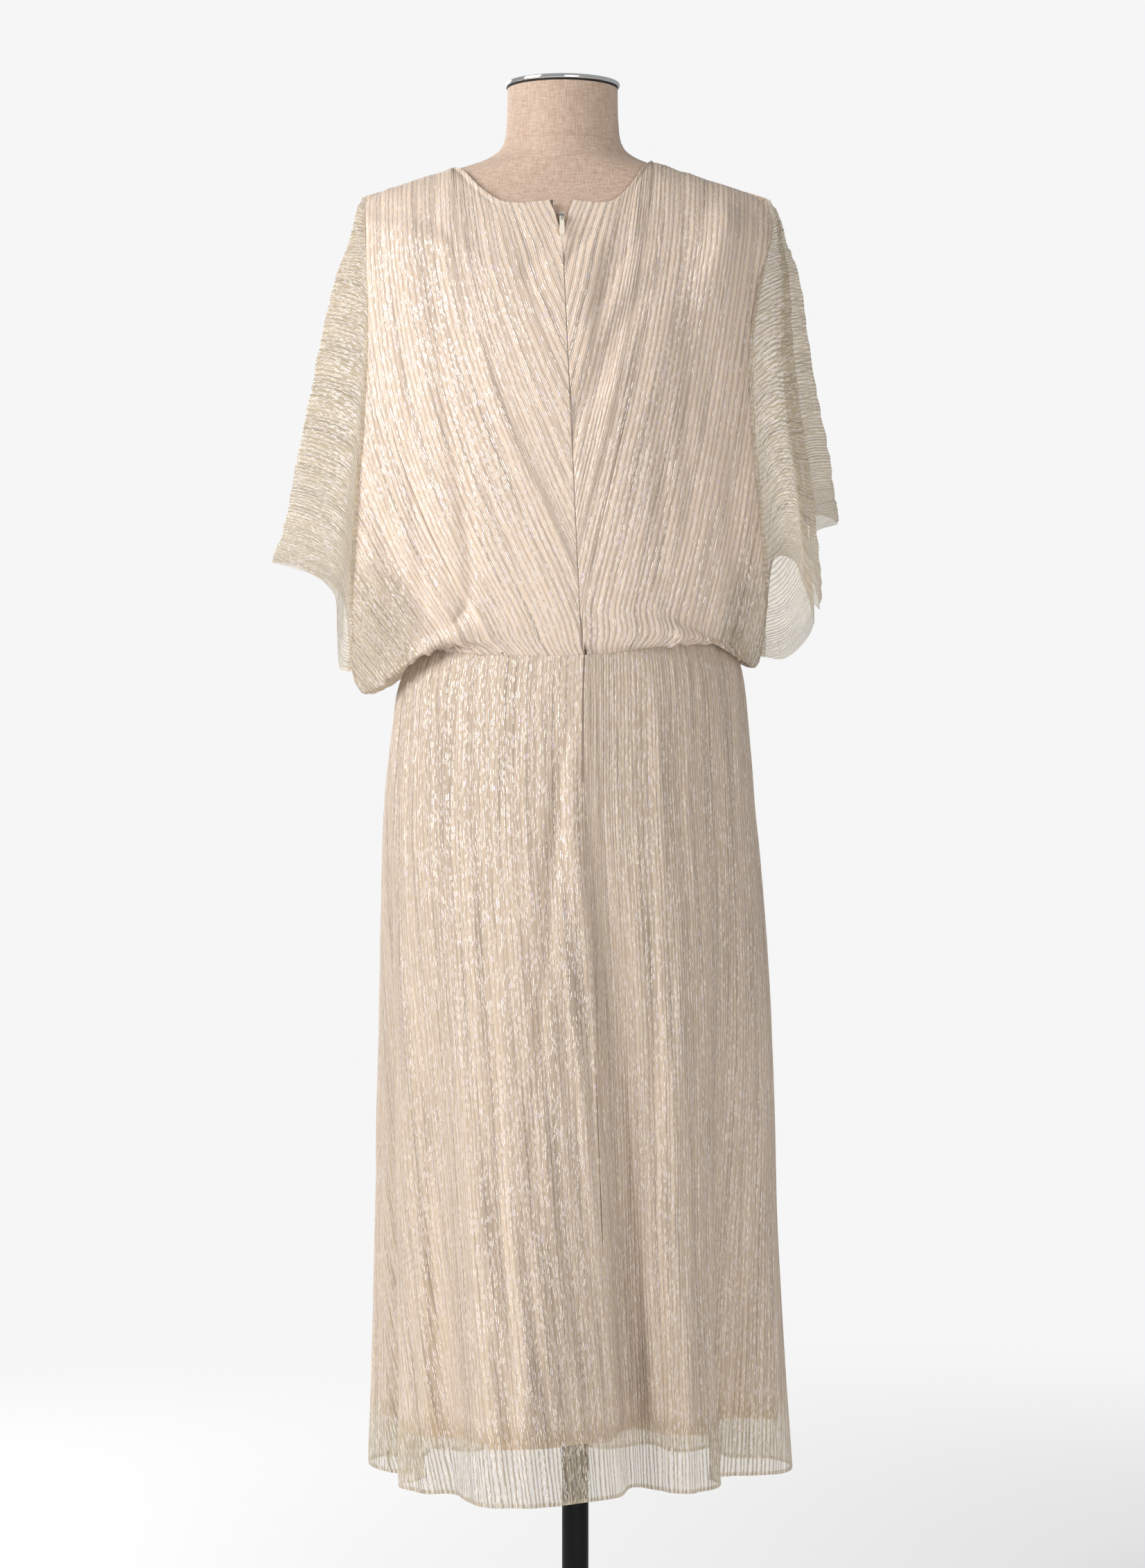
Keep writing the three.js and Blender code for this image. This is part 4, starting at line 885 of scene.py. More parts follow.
LINED = (0.86, 0.685, 0.54)  # the dress's cloth over its lining
SHEER = (0.98, 0.86, 0.65)  # the cloth alone
VALLEY_PAINTED_SHADE = 0.66  # painted shade: how much of the cloth's colour a pleat's valley keeps
# the same painted valley shade on the cloth alone
SHEER_VALLEY_PAINTED_SHADE = 0.8
FINE_PAINTED_SHADE = 0.35  # painted shade of the finer crinkle: how much of a crest's brightness it takes away
STRAY = 0.5  # how far a crest strays, in pleats
STRAY_STEPS = (0.5, 26.0)  # over a pleat and over a metre along it
SILVER = (0.92, 0.83, 0.75)
GOLD = (0.9, 0.72, 0.46)
GOLD_FROM = 0.5  # of each thread's random value, from which it is gold and not silver
LILAC = (0.8, 0.7, 0.8)
LILAC_FROM = 0.8  # of another
PAINTED_SHADE_BANDS = (  # painted shade in bands where pleats lie closer: across a pleat, along a metre, from and to, how much darker
    (0.9, 5.0, 0.56, 0.68, 0.2),
    (0.23, 2.6, 0.42, 0.66, 0.1),
)
THREADS_PER_PLEAT = 4
DASH_LENGTH = 0.0075  # of a thread's cell, in metres
DASH_LEAST = 0.35  # the share of its cell's length that a dash fills at least
DASH_SPREAD = 0.6  # and how much more it may
DASH_OFFSETS = 37.0  # how many cells a thread may be moved along
DASH_WIDTH = 0.38  # of a thread's place
DASH_COVER = 0.5  # the share of places with a thread that catches the light
DASH_METAL = 0.5  # how metallic a thread is over the lining
SHEER_METAL = 0.2  # and on the cloth alone
GLITTER_TILT = 0.24  # how far a piece of thread turns aside
SHEER_ALPHA = 0.5  # how much the cloth alone covers
OPEN_GAIN = 1.25  # how much more open it is than that at a crest
GLOW = 0.58  # the share of light that comes through the cloth alone
LINED_GLOW = 0.04  # the same over the lining
CLOTH_ROUGHNESS = 0.65
THREAD_SMOOTHNESS = 0.17  # how much less rough a thread is
RELIEF = (0.0008, 0.6)  # the pleats' depth in metres, and its strength
FINE_RELIEF = 0.45
CLOTH_SHEEN = (0.12, 0.4)  # its weight and roughness


def plisse_material(name, sheer_only):
    """Crinkled cloth with broken metallic threads along its pleats."""
    material, shader = new_material(name, SHEER if sheer_only else LINED, 0.5)
    add, feed, do, mix, relief = node_tools(material)
    split = add("ShaderNodeSeparateXYZ", {0: add("ShaderNodeUVMap", uv_map="pleats").outputs[0]})
    pleat, along = split.outputs[0], split.outputs[1]
    lined = add("ShaderNodeAttribute", attribute_name="lined").outputs["Fac"]

    def uneven(across, down, detail):
        places = {0: do("MULTIPLY", pleat, across), 1: do("MULTIPLY", along, down)}
        place = add("ShaderNodeCombineXYZ", places).outputs[0]
        inputs = {"Vector": place, "Scale": 1.0, "Detail": detail}
        return add("ShaderNodeTexNoise", inputs, noise_dimensions="2D").outputs[0]

    def vector(operation, inputs):
        return add("ShaderNodeVectorMath", inputs, operation=operation).outputs[0]

    # the pleat's profile and the finer crinkle on it
    stray = do("SUBTRACT", uneven(*STRAY_STEPS, 2.0), 0.5)
    shifted = do("ADD", pleat, do("MULTIPLY", stray, STRAY))
    crest = do("ABSOLUTE", do("SINE", do("MULTIPLY", shifted, math.pi)))
    fine = do("ABSOLUTE", do("SINE", do("MULTIPLY", shifted, math.pi * THREADS_PER_PLEAT)))

    # broken threads: each cell along a thread is on or off
    thread = do("MULTIPLY", shifted, float(THREADS_PER_PLEAT))
    number = do("FLOOR", thread)
    offset = add("ShaderNodeTexWhiteNoise", {"W": number}, noise_dimensions="1D").outputs["Value"]
    dash = do("ADD", do("DIVIDE", along, DASH_LENGTH), do("MULTIPLY", offset, DASH_OFFSETS))
    cell = add("ShaderNodeCombineXYZ", {0: number, 1: do("FLOOR", dash)}).outputs[0]
    random = add("ShaderNodeTexWhiteNoise", {"Vector": cell}, noise_dimensions="2D")
    colour = add("ShaderNodeSeparateColor", {0: random.outputs["Color"]})
    off_middle = do("ABSOLUTE", do("SUBTRACT", do("FRACT", thread), 0.5))
    inside = do("LESS_THAN", off_middle, DASH_WIDTH / 2)
    filled = do("ADD", DASH_LEAST, do("MULTIPLY", colour.outputs[1], DASH_SPREAD))
    length = do("LESS_THAN", do("FRACT", dash), filled)
    on = do("LESS_THAN", random.outputs["Value"], DASH_COVER)
    metal = do("MULTIPLY", do("MULTIPLY", inside, length), on)
    metals = mix(do("GREATER_THAN", colour.outputs[0], GOLD_FROM), (*SILVER, 1), (*GOLD, 1))
    metals = mix(do("GREATER_THAN", colour.outputs[2], LILAC_FROM), metals, (*LILAC, 1))

    # the cloth's colour, with painted shade in its valleys and in bands where pleats lie closer
    cloth = (*SHEER, 1) if sheer_only else mix(lined, (*SHEER, 1), (*LINED, 1))
    ridge = do("MULTIPLY", crest, do("MULTIPLY_ADD", fine, FINE_PAINTED_SHADE, 1 - FINE_PAINTED_SHADE))
    valley_painted_shade = SHEER_VALLEY_PAINTED_SHADE if sheer_only else VALLEY_PAINTED_SHADE
    shade = do("ADD", valley_painted_shade, do("MULTIPLY", ridge, 1 - valley_painted_shade))
    for across, down, low, high, painted_shade_share in PAINTED_SHADE_BANDS:
        span = 1 / (high - low)
        share = do("MULTIPLY_ADD", uneven(across, down, 1.0), span, -low * span, clamp=True)
        shade = do("MULTIPLY", shade, do("MULTIPLY_ADD", share, -painted_shade_share, 1.0))
    grey = add("ShaderNodeCombineColor", {0: shade, 1: shade, 2: shade}).outputs[0]
    painted_shade_cloth = mix(1.0, cloth, grey, "MULTIPLY")
    shine = SHEER_METAL
    if not sheer_only:
        shine = do("MULTIPLY_ADD", lined, DASH_METAL - SHEER_METAL, SHEER_METAL)
    smooth = do("MULTIPLY", metal, THREAD_SMOOTHNESS)
    feed(shader.inputs["Base Color"], mix(metal, painted_shade_cloth, metals))
    feed(shader.inputs["Metallic"], do("MULTIPLY", metal, shine))
    feed(shader.inputs["Roughness"], do("SUBTRACT", CLOTH_ROUGHNESS, smooth))
    feed(shader.inputs["Sheen Weight"], CLOTH_SHEEN[0])
    feed(shader.inputs["Sheen Roughness"], CLOTH_SHEEN[1])

    # the crinkle as relief, and each piece of thread facing its own way
    bump = relief(do("ADD", crest, do("MULTIPLY", fine, FINE_RELIEF)), *RELIEF)
    tilt = vector("SUBTRACT", {0: random.outputs["Color"], 1: (0.5, 0.5, 0.5)})
    tilt = vector("SCALE", {0: tilt, "Scale": do("MULTIPLY", metal, GLITTER_TILT)})
    feed(shader.inputs["Normal"], vector("NORMALIZE", {0: vector("ADD", {0: bump, 1: tilt})}))

    # the cloth alone is sheer, least in its valleys and not at all on its threads
    plain = do("SUBTRACT", 1.0, metal)
    alone = do("SUBTRACT", 1.0, 0.0 if sheer_only else lined)
    open_ = do("MULTIPLY", plain, do("MULTIPLY", crest, 1 - SHEER_ALPHA))
    see = do("MINIMUM", do("MULTIPLY", alone, do("MULTIPLY", open_, OPEN_GAIN)), 1.0)
    glow = do("MULTIPLY", plain, do("MULTIPLY_ADD", alone, GLOW, LINED_GLOW))
    through = add("ShaderNodeBsdfTranslucent", {"Color": painted_shade_cloth, "Normal": bump}).outputs[0]
    glowing = add("ShaderNodeMixShader", {0: glow, 1: shader.outputs[0], 2: through}).outputs[0]
    clear = add("ShaderNodeBsdfTransparent").outputs[0]
    final = add("ShaderNodeMixShader", {0: see, 1: glowing, 2: clear}).outputs[0]
    feed(material.node_tree.nodes["Material Output"].inputs["Surface"], final)
    return material


def speckled(name, colour, other, scale, roughness, depth, metallic=0.0):
    """A finish with fine uneven colour and relief, by the object's own coordinates."""
    material, shader = new_material(name, colour, roughness, metallic)
    add, feed, do, mix, relief = node_tools(material)
    place = add("ShaderNodeTexCoord").outputs["Object"]
    noise = add("ShaderNodeTexNoise", {"Vector": place, "Scale": scale, "Detail": 4}).outputs[0]
    share = do("MULTIPLY_ADD", noise, 2.6, -0.8, clamp=True)
    feed(shader.inputs["Base Color"], mix(share, (*colour, 1), (*other, 1)))
    feed(shader.inputs["Normal"], relief(noise, depth, 0.5))
    return material


LINEN_DARK = (0.43, 0.3, 0.22)
LINEN_PALE = (0.66, 0.5, 0.39)
WEAVE_STRETCHES = ((900.0, 900.0, 90.0), (120.0, 120.0, 1000.0))  # for threads across and down


def linen_material():
    """A plain weave of uneven threads."""
    material, shader = new_material("linen", LINEN_PALE, 0.85)
    add, feed, do, mix, relief = node_tools(material)
    place = add("ShaderNodeTexCoord").outputs["Object"]
    heights = []
    for stretch in WEAVE_STRETCHES:
        threads = add("ShaderNodeMapping", {0: place, "Scale": stretch}).outputs[0]
        inputs = {"Vector": threads, "Scale": 1.0, "Detail": 2}
        heights.append(add("ShaderNodeTexNoise", inputs).outputs[0])
    weave = do("MULTIPLY_ADD", do("ADD", *heights), 1.5, -1.0, clamp=True)
    feed(shader.inputs["Base Color"], mix(weave, (*LINEN_DARK, 1), (*LINEN_PALE, 1)))
    feed(shader.inputs["Normal"], relief(weave, 0.0005, 0.6))
    feed(shader.inputs["Sheen Weight"], 0.15)
    return material


PLISSE = plisse_material("plisse", False)
SHEER_PLISSE = plisse_material("sheer_plisse", True)
LINING = speckled("lining", (0.68, 0.54, 0.435), (0.75, 0.6, 0.49), 900.0, 0.75, 0.0002)
LINEN = linen_material()
METAL = speckled("slider_metal", (0.55, 0.54, 0.52), (0.66, 0.65, 0.62), 700.0, 0.3, 0.0001, 1.0)
CREAM = speckled("pull_enamel", (0.78, 0.7, 0.57), (0.82, 0.75, 0.63), 500.0, 0.35, 0.0001)
TAPE = speckled("zip_tape", (0.6, 0.5, 0.42), (0.68, 0.58, 0.5), 1500.0, 0.8, 0.0002)
# dark taupe: partly the teeth's own colour and partly painted shade of the narrow gap they sit in
TEETH_AND_GAP_SHADE = speckled("zip_teeth", (0.26, 0.19, 0.15), (0.36, 0.28, 0.22), 1500.0, 0.45, 0.0001)
CHROME = speckled("chrome", (0.82, 0.83, 0.84), (0.86, 0.87, 0.88), 60.0, 0.09, 0.00002, 1.0)
BLACK = speckled("black_paint", (0.004, 0.004, 0.004), (0.007, 0.007, 0.007), 300.0, 0.5, 0.0001)
BLACK.node_tree.nodes["Principled BSDF"].inputs["Specular IOR Level"].default_value = 0.15
# a near-black finish that paints the shadow under the cap's rim
CAP_PAINTED_SHADOW = speckled("cap_gap", (0.01, 0.01, 0.01), (0.015, 0.014, 0.013), 300.0, 0.9, 0.0001)


# The back's panels
POUCH_OPEN = 0.6  # how far the blousing is without its lining, at most
POUCH_Z = (1130, 1060)
POUCH_OUT = (8, 34)  # beyond the form's side
BODICE_TURNS = (1.5, 3)  # the cloth turned in at its neck and at its waist


def lined_share(points):
    """1 where the bodice lies over its lining, less where the blousing hangs beyond it."""
    ring = form_ring(points[..., 2])
    out = np.abs(points[..., 0] - ring["x"]) - ring["width"]
    low = smoothstep(points[..., 2], *POUCH_Z)
    return 1 - POUCH_OPEN * smoothstep(out, *POUCH_OUT) * low


def add_back(side, seed):
    across, level, number = back_lines(side, seed)
    points = bodice_point(side, -1, across, level)
    gathers = gather_height(seed, number, across, level)
    calm = smoothstep(across * SHOULDER_TIP[side], 0.5, EDGE_CALM)
    calm = calm * smoothstep((1 - across) * SHOULDER_TIP[side], -1, EDGE_CALM)
    add_pleated(f"bodice_back_{side}", PLISSE, seed, points, number, -HAND[side],
                BODICE_TURNS, raised=gathers, calm=lerp(0.15, 1, calm), lined=lined_share(points))


add_back("left", 21)
add_back("right", 22)

# The front's panel, with straight pleats from its shoulders and neckline to the waist
FRONT_PLEATS = 116
FRONT_ROWS = 84


def add_front(seed):
    places, number = pleat_places(seed, FRONT_PLEATS)
    signed = 2 * places - 1
    level = np.linspace(0, WAIST_LEVEL, FRONT_ROWS + 1)[None, :]
    across, level = np.broadcast_arrays(np.abs(signed)[:, None], level)
    left = signed < 0
    points = np.empty((*across.shape, 3))
    points[left] = bodice_point("left", 1, across[left], level[left])
    points[~left] = bodice_point("right", 1, across[~left], level[~left])
    gathers = gather_height(seed, number, across, level)
    add_pleated("bodice_front", PLISSE, seed, points, number, 1, BODICE_TURNS,
                raised=gathers, lined=lined_share(points))


add_front(23)

# The sleeves: their pleats run round the arm, from the back seam to the front seam
SLEEVE_PLEATS = {"left": 104, "right": 100}
SLEEVE_STEPS = 64
SLEEVE_SLANT = {"left": 0.3, "right": 0.6}
SLEEVE_TOP = ((0, 0.12, 1), (0.06, 1, SLEEVE_END_LEVEL))  # its pleats' places and their levels
SLEEVE_TURN = 4
SLEEVE_STREAKS = 0.8


def add_sleeve(side, seed):
    places, number = pleat_places(seed, SLEEVE_PLEATS[side])
    level = np.interp(places, *SLEEVE_TOP)[:, None]
    round_ = np.linspace(0, 1, SLEEVE_STEPS + 1)[None, :]
    points = sleeve_point(side, round_, level)
    grown = smoothstep(level[:, 0], 0.1, 1.3)
    turn = SLEEVE_TURN * grown
    add_pleated(f"sleeve_{side}", SHEER_PLISSE, seed, points, number, HAND[side],
                (turn, turn), streaks=SLEEVE_STREAKS, calm=lerp(0.1, 0.75, grown)[:, None],
                radius=lerp(0.1, TURN_RADIUS, grown), fine_share=0.0, slant=SLEEVE_SLANT[side])


add_sleeve("left", 24)
add_sleeve("right", 25)

# The skirt's panels. A pleat line keeps its distance from the panel's middle in part, so that
# new pleats come in at the side seams further down.
RUNS = HEM_FOLDS["run"]
SKIRT_ROWS = 92
SKIRT_LINED = 0.72  # how much the lining closes the sheer cloth over it
SIDE_CALM = 16  # over this length from a side seam the pleats and creases grow
SKIRT_TURNS = (5, 3)
ZIP_OPENS = 12  # the height over which the seam opens to the zip's gap
SKIRT_STREAKS = 0.9
HEM_FADE = 25  # over this height above the lining's hem the lining closes the cloth
SKIRT_CREASES = {
    "back": table(
        "x z to_x to_z width depth",
        (-146, 724, -122, 280, 8, 6),
        (-150, 640, -152, 249, 6, 3),
        (-82, 790, -57, 280, 9, 6.5),
        (-44, 560, -30, 249, 7, 3),
        (-14, 900, -30, 690, 7, 4.5),
        (12, 905, 30, 600, 6, 6),
        (26, 880, 50, 520, 6, 2.5),
        (70, 820, 78, 300, 7, 4.5),
        (112, 700, 118, 249, 7, 4),
        (146, 640, 152, 300, 8, 3.5),
        (-6, 960, -22, 850, 5, 2.5),
    ),
    "front": table(
        "x z to_x to_z width depth",
        (-140, 720, -130, 249, 8, 4),
        (-96, 820, -104, 300, 8, 3.5),
        (-52, 700, -60, 249, 8, 4.5),
        (-18, 860, -12, 420, 7, 3),
        (24, 760, 18, 249, 8, 4),
        (66, 840, 76, 360, 7, 3),
        (104, 680, 112, 249, 9, 4.5),
        (142, 760, 150, 320, 8, 3),
    ),
}
PANELS = [
    {"name": "skirt_back_right", "from": 0.0, "to": RUNS[RIGHT_SEAM], "pleats": 82,
     "keep": 0.35, "creases": "back"},
    {"name": "skirt_back_left", "from": HEM_LENGTH, "to": RUNS[LEFT_SEAM], "pleats": 86,
     "keep": 0.9, "creases": "back"},
    {"name": "skirt_front", "from": RUNS[RIGHT_SEAM], "to": RUNS[LEFT_SEAM], "pleats": 168,
     "keep": 0.0, "creases": "front"},
]


def skirt_surface(run, share, foot, creases, outward, calm):
    points = skirt_point(run, share, foot)
    normals = grid_normals(points, outward)
    depth = fold_depth(SKIRT_CREASES[creases], points[..., 0], points[..., 2], CREASE_ENDS)
    return points - normals * (depth * calm)[..., None]


def add_skirt(panel, seed):
    places, number = pleat_places(seed, panel["pleats"])
    shares = np.linspace(0, 1, 101)
    edge = skirt_point(np.linspace(panel["from"], panel["to"], 161)[:, None], shares[None, :], HEM_Z)
    width = np.linalg.norm(np.diff(edge, axis=0), axis=-1).sum(0)
    spread = (width[0] / width) ** panel["keep"]
    furthest = 1 / spread[-1]
    place = places * furthest
    enter = np.interp(place, 1 / spread, shares)
    share = lerp(enter[:, None], 1.0, np.linspace(0, 1, SKIRT_ROWS + 1)[None, :])
    across = np.clip(place[:, None] * np.interp(share, shares, spread), 0, 1)
    run = lerp(panel["from"], panel["to"], across)
    outward = -1 if panel["to"] > panel["from"] else 1
    aside = np.minimum(1 - across, across if panel["creases"] == "front" else 1.0)
    calm = smoothstep(aside * np.interp(share, shares, width), 0, SIDE_CALM)
    points = skirt_surface(run, share, HEM_Z, panel["creases"], outward, calm)
    if panel["creases"] == "back":
        open_ = smoothstep(points[..., 2], ZIP_END_Z, ZIP_END_Z + ZIP_OPENS)
        points[..., 0] -= outward * ZIP_HALF_GAP * open_ * (1 - across) ** ZIP_EDGE_SPREAD
    closed = SKIRT_LINED * smoothstep(points[..., 2], LINING_HEM_Z, LINING_HEM_Z + HEM_FADE)
    add_pleated(panel["name"], PLISSE, seed, points, number, outward, SKIRT_TURNS,
                streaks=SKIRT_STREAKS, calm=calm, lined=closed)


for seed, panel in enumerate(PANELS, 26):
    add_skirt(panel, seed)

# The skirt's lining, with a narrow stitched hem
LINING_INSET = 3.4
LINING_EASE = 6  # how much further in it lies from below the waist on
LINING_WAVE = 2.5
LINING_WAVE_LENGTHS = (120, 9)  # mm round it, and shares of its height
LINING_STEP = 4.5
LINING_ROWS = 70
LINING_TURNS = (4, 14)
LINING_RADII = (TURN_RADIUS, 0.4)


def add_lining(name, start, end):
    count = int(abs(end - start) / LINING_STEP)
    run = np.linspace(start, end, count + 1)[:, None]
    share = np.linspace(0, 1, LINING_ROWS + 1)[None, :]
    plain = skirt_point(run, share, LINING_HEM_Z)
    normals = grid_normals(plain, -1)
    ease = (LINING_INSET + LINING_EASE * smoothstep(share, 0, 0.4))[..., None]
    points = plain - normals * ease
    points[..., 2] += LINING_WAVE * waves(61, run, share, *LINING_WAVE_LENGTHS)
    mesh = mesh_from_grid(f"{name}_cloth", edged(points, normals, LINING_TURNS, LINING_RADII))
    add_object(mesh.name, mesh, LINING, [name])


add_lining("lining_front", RUNS[RIGHT_SEAM], RUNS[LEFT_SEAM])
add_lining("lining_back", RUNS[LEFT_SEAM] - HEM_LENGTH, RUNS[RIGHT_SEAM])

# The zip's teeth, in the gap between the back's folded edges
TOOTH_PITCH = 1.15
TOOTH_SIZE = (1.9, 0.62, 0.5)  # across the zip, along it and out of it
TEETH_IN = 0.5  # behind the panels' surface
TOOTH_ASIDE = 0.25  # from the centre line, to each side in turn
TEETH_LEVELS = (0.3, 11.95)  # from below the top of the zip down the bodice
TEETH_FOOT_SHARE = 0.16  # down the skirt, past the zip's end


def centre_back_line():
    """Points down the centre back at even steps, with the directions along and out of the cloth."""
    level = np.linspace(*TEETH_LEVELS, 400)
    zero = np.zeros_like(level)
    bodice = (bodice_point("left", -1, zero, level) + bodice_point("right", -1, zero, level)) / 2
    share = np.linspace(0, TEETH_FOOT_SHARE, 60)
    skirt = skirt_point(np.zeros_like(share), share, HEM_Z)
    line = np.concatenate([bodice, skirt[skirt[:, 2] > ZIP_END_Z]])
    line[:, 0] = np.where(line[:, 2] > WAIST_Z, centre_x(line[:, 2]), line[:, 0])
    gone = np.concatenate([[0], np.cumsum(np.linalg.norm(np.diff(line, axis=0), axis=1))])
    steps = np.arange(0, gone[-1], TOOTH_PITCH)
    points = np.stack([np.interp(steps, gone, line[:, k]) for k in range(3)], -1)
    along = unit(np.gradient(points, axis=0))
    out = unit(np.cross(along, [1, 0, 0]))
    out *= -np.sign(out[:, 1:2])
    return points, along, out


def add_teeth():
    points, along, out = centre_back_line()
    across = unit(np.cross(along, out))
    corners = [(i, j, n) for i in (-0.5, 0.5) for j in (-0.5, 0.5) for n in (-0.5, 0.5)]
    cube = [(0, 1, 3, 2), (4, 6, 7, 5), (0, 4, 5, 1), (2, 3, 7, 6), (0, 2, 6, 4), (1, 5, 7, 3)]
    wide, long, high = TOOTH_SIZE
    vertices, faces = [], []
    for k, (point, down, away, beside) in enumerate(zip(points, along, out, across)):
        middle = point - away * TEETH_IN + beside * (TOOTH_ASIDE if k % 2 else -TOOTH_ASIDE)
        for i, j, n in corners:
            vertices.append(middle + beside * i * wide + down * j * long + away * n * high)
        faces += [tuple(8 * k + corner for corner in face) for face in cube]
    mesh = bpy.data.meshes.new("zip_teeth")
    mesh.from_pydata((np.array(vertices) * MM).tolist(), [], faces)
    mesh.validate()
    add_object("zip_teeth", mesh, TEETH_AND_GAP_SHADE)


add_teeth()

# The form: its padded body, cap, pole and base
FORM_COLUMNS = 144
NECK_SEAM_DEPTH = 0.014  # as a share of the neck
NECK_SEAM_WIDTH = 0.6


def form_grid(levels):
    angle = np.linspace(0, 2 * np.pi, FORM_COLUMNS, endpoint=False)[:, None]
    ring = form_ring(levels[None, :])
    side = np.sin(angle)
    reach = ring["depth"] * np.sign(side) * np.abs(side) ** (2 * ring["taper"])
    x = ring["x"] + ring["width"] * np.cos(angle)
    return stacked(x, ring["y"] + reach, levels[None, :])


def add_form():
    levels = np.concatenate([
        np.arange(FORM_FOOT_Z, 1400, 10), np.arange(1400, NECK_SEAM_Z - 1.2, 2.5),
        NECK_SEAM_Z + np.array([-1.2, -0.5, 0, 0.5, 1.2]),
        np.arange(NECK_SEAM_Z + 3, FORM_TOP_Z, 4), [FORM_TOP_Z],
    ])
    points = form_grid(levels)
    seam = NECK_SEAM_DEPTH * np.exp(-((levels - NECK_SEAM_Z) / NECK_SEAM_WIDTH) ** 2)
    centre = stacked(form_ring(levels)["x"], 0.0, levels)[None]
    points = centre + (points - centre) * (1 - seam)[None, :, None]

    def closing(edge, shares):
        return np.stack([lerp(edge.mean(0), edge, share) for share in shares], 1)

    foot, top = closing(points[:, 0], (0.0, 0.5)), closing(points[:, -1], (0.5, 0.0))
    mesh = mesh_from_grid("form_body", np.concatenate([foot, points, top], 1), loop=True)
    add_object("form_body", mesh, LINEN, ["form_bust"])


def disc_profile(radius, low, high, rounding):
    """A disc with rounded edges, as (radius, z) pairs from its underside's middle to its top's."""
    rim = []
    for z, sign in ((low, -1), (high, 1)):
        for angle in np.radians([0, 30, 60, 90][::-sign]):
            rim.append((radius - rounding + rounding * math.sin(angle),
                        z - sign * rounding + sign * rounding * math.cos(angle)))
    return [(0, low), (radius * 0.5, low), *rim, (radius * 0.5, high), (0, high)]


def add_disc(name, radius, low, high, rounding, x, columns, material, nodes):
    angle = np.linspace(0, 2 * np.pi, columns, endpoint=False)[:, None]
    reach, z = np.array(disc_profile(radius, low, high, rounding), float).T
    points = stacked(x + reach * np.cos(angle), reach * np.sin(angle), z[None, :])
    add_object(name, mesh_from_grid(name, points, loop=True), material, nodes)


add_form()
add_disc("form_cap_rim", CAP_RADIUS, FORM_TOP_Z, FORM_TOP_Z + CAP_THICK, 1.2, FORM_X, 96,
         CHROME, ["form_cap"])
# a black disc just under the cap, a little wider than the neck: a painted shadow of the cap's
# overhang
add_disc("form_cap_gap", NECK_RADIUS + 0.35, FORM_TOP_Z - 1.8, FORM_TOP_Z - 0.1, 0.2, FORM_X, 96,
         CAP_PAINTED_SHADOW, [])
add_disc("form_pole_tube", POLE_RADIUS, BASE_THICK, FORM_FOOT_Z, 0.5, 0, 64,
         BLACK, ["form_pole"])
add_disc("form_base_plate", BASE_RADIUS, 0, BASE_THICK, 2.5, 0, 160,
         BLACK, ["form_base"])

# The zip's tape, slider and pull keep their solids and get these finishes
for name, material in (("zip_tape", TAPE), ("zip_slider", METAL), ("zip_pull", CREAM)):
    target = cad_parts[name]
    target = target if isinstance(target, bpy.types.Object) else bpy.data.objects[name]
    if target.material_slots:
        target.material_slots[0].material = material


# Light, floor and camera
WORLD_LIGHT = 0.36
BACKDROP_LIGHT = 0.92
LIGHTS = (  # name, place, what it faces and its size in metres, and its watts
    ("key", (-3.3, -1.6, 2.4), (0, 0, 0.9), (2.2, 2.2), 145),
    ("fill", (1.2, -3.6, 0.9), (0, 0, 0.7), (1.8, 1.8), 56),
    ("back", (-1.6, 2.6, 2.0), (0, 0, 1.0), (2.0, 1.6), 60),
)
FLOOR_FADE = (0.7, 2.6)  # the reach over which the floor fades out
FLOOR_REACH = 2.8
CAMERA_AT = (-2.62, -3500, 900)  # its height and distance come from the hem's two edges
LENS = 85
SENSOR = 36


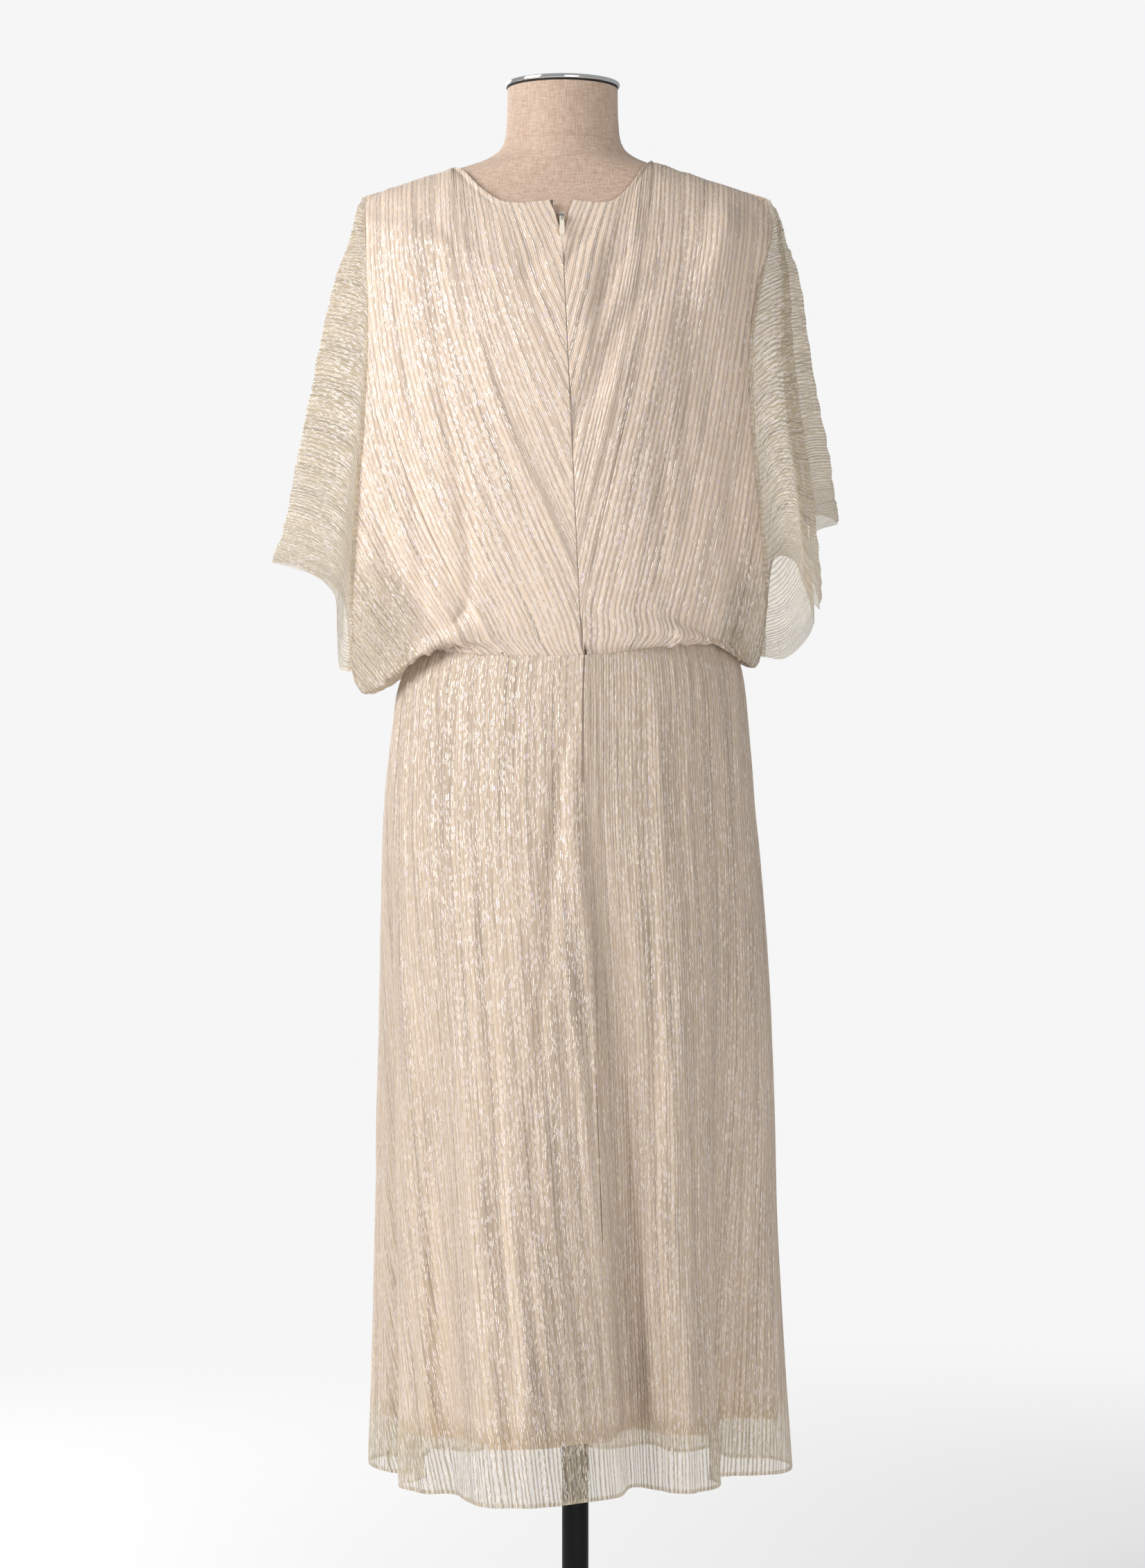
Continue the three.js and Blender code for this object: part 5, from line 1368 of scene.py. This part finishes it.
def add_area_light(name, place, target, size, power):
    light = bpy.data.lights.new(name, "AREA")
    light.shape = "RECTANGLE"
    light.size, light.size_y = size
    light.energy = power
    lamp = bpy.data.objects.new(name, light)
    bpy.context.scene.collection.objects.link(lamp)
    lamp.location = place
    lamp.rotation_euler = (Vector(target) - Vector(place)).to_track_quat("-Z", "Y").to_euler()


def add_world():
    """Soft light from all round, paler where the camera looks past the dress."""
    world = bpy.data.worlds.new("studio")
    world.use_nodes = True
    bpy.context.scene.world = world
    add, feed, *_ = node_tools(world)
    background = world.node_tree.nodes["Background"]
    seen = add("ShaderNodeLightPath").outputs["Is Camera Ray"]
    range_ = {"Value": seen, "To Min": WORLD_LIGHT, "To Max": BACKDROP_LIGHT}
    feed(background.inputs["Color"], (1, 1, 1, 1))
    feed(background.inputs["Strength"], add("ShaderNodeMapRange", range_).outputs[0])


def add_floor():
    """A pale floor that fades out, so that it has no edge."""
    material, shader = new_material("pale_floor", (0.86, 0.86, 0.86), 0.9)
    add, feed, *_ = node_tools(material)
    place = {0: add("ShaderNodeTexCoord").outputs["Object"]}
    length = add("ShaderNodeVectorMath", place, operation="LENGTH").outputs["Value"]
    near, far = FLOOR_FADE
    range_ = {"Value": length, "From Min": near, "From Max": far, "To Min": 1.0, "To Max": 0.0}
    fade = add("ShaderNodeMapRange", range_, interpolation_type="SMOOTHSTEP")
    feed(shader.inputs["Alpha"], fade.outputs[0])
    feed(shader.inputs["Specular IOR Level"], 0.1)
    mesh = bpy.data.meshes.new("floor")
    corners = [(i * FLOOR_REACH, j * FLOOR_REACH, 0) for i, j in ((-1, -1), (1, -1), (1, 1), (-1, 1))]
    mesh.from_pydata(corners, [], [(0, 1, 2, 3)])
    mesh.materials.append(material)
    floor = bpy.data.objects.new("floor", mesh)
    bpy.context.scene.collection.objects.link(floor)


def add_camera():
    camera = bpy.data.cameras.new("camera")
    camera.sensor_width = SENSOR
    camera.lens = LENS
    holder = bpy.data.objects.new("camera", camera)
    bpy.context.scene.collection.objects.link(holder)
    holder.location = [value * MM for value in CAMERA_AT]
    holder.rotation_euler = (math.pi / 2, 0, 0)
    bpy.context.scene.camera = holder


bpy.context.scene.view_settings.view_transform = "Standard"
add_world()
add_floor()
add_camera()
for light in LIGHTS:
    add_area_light(*light)
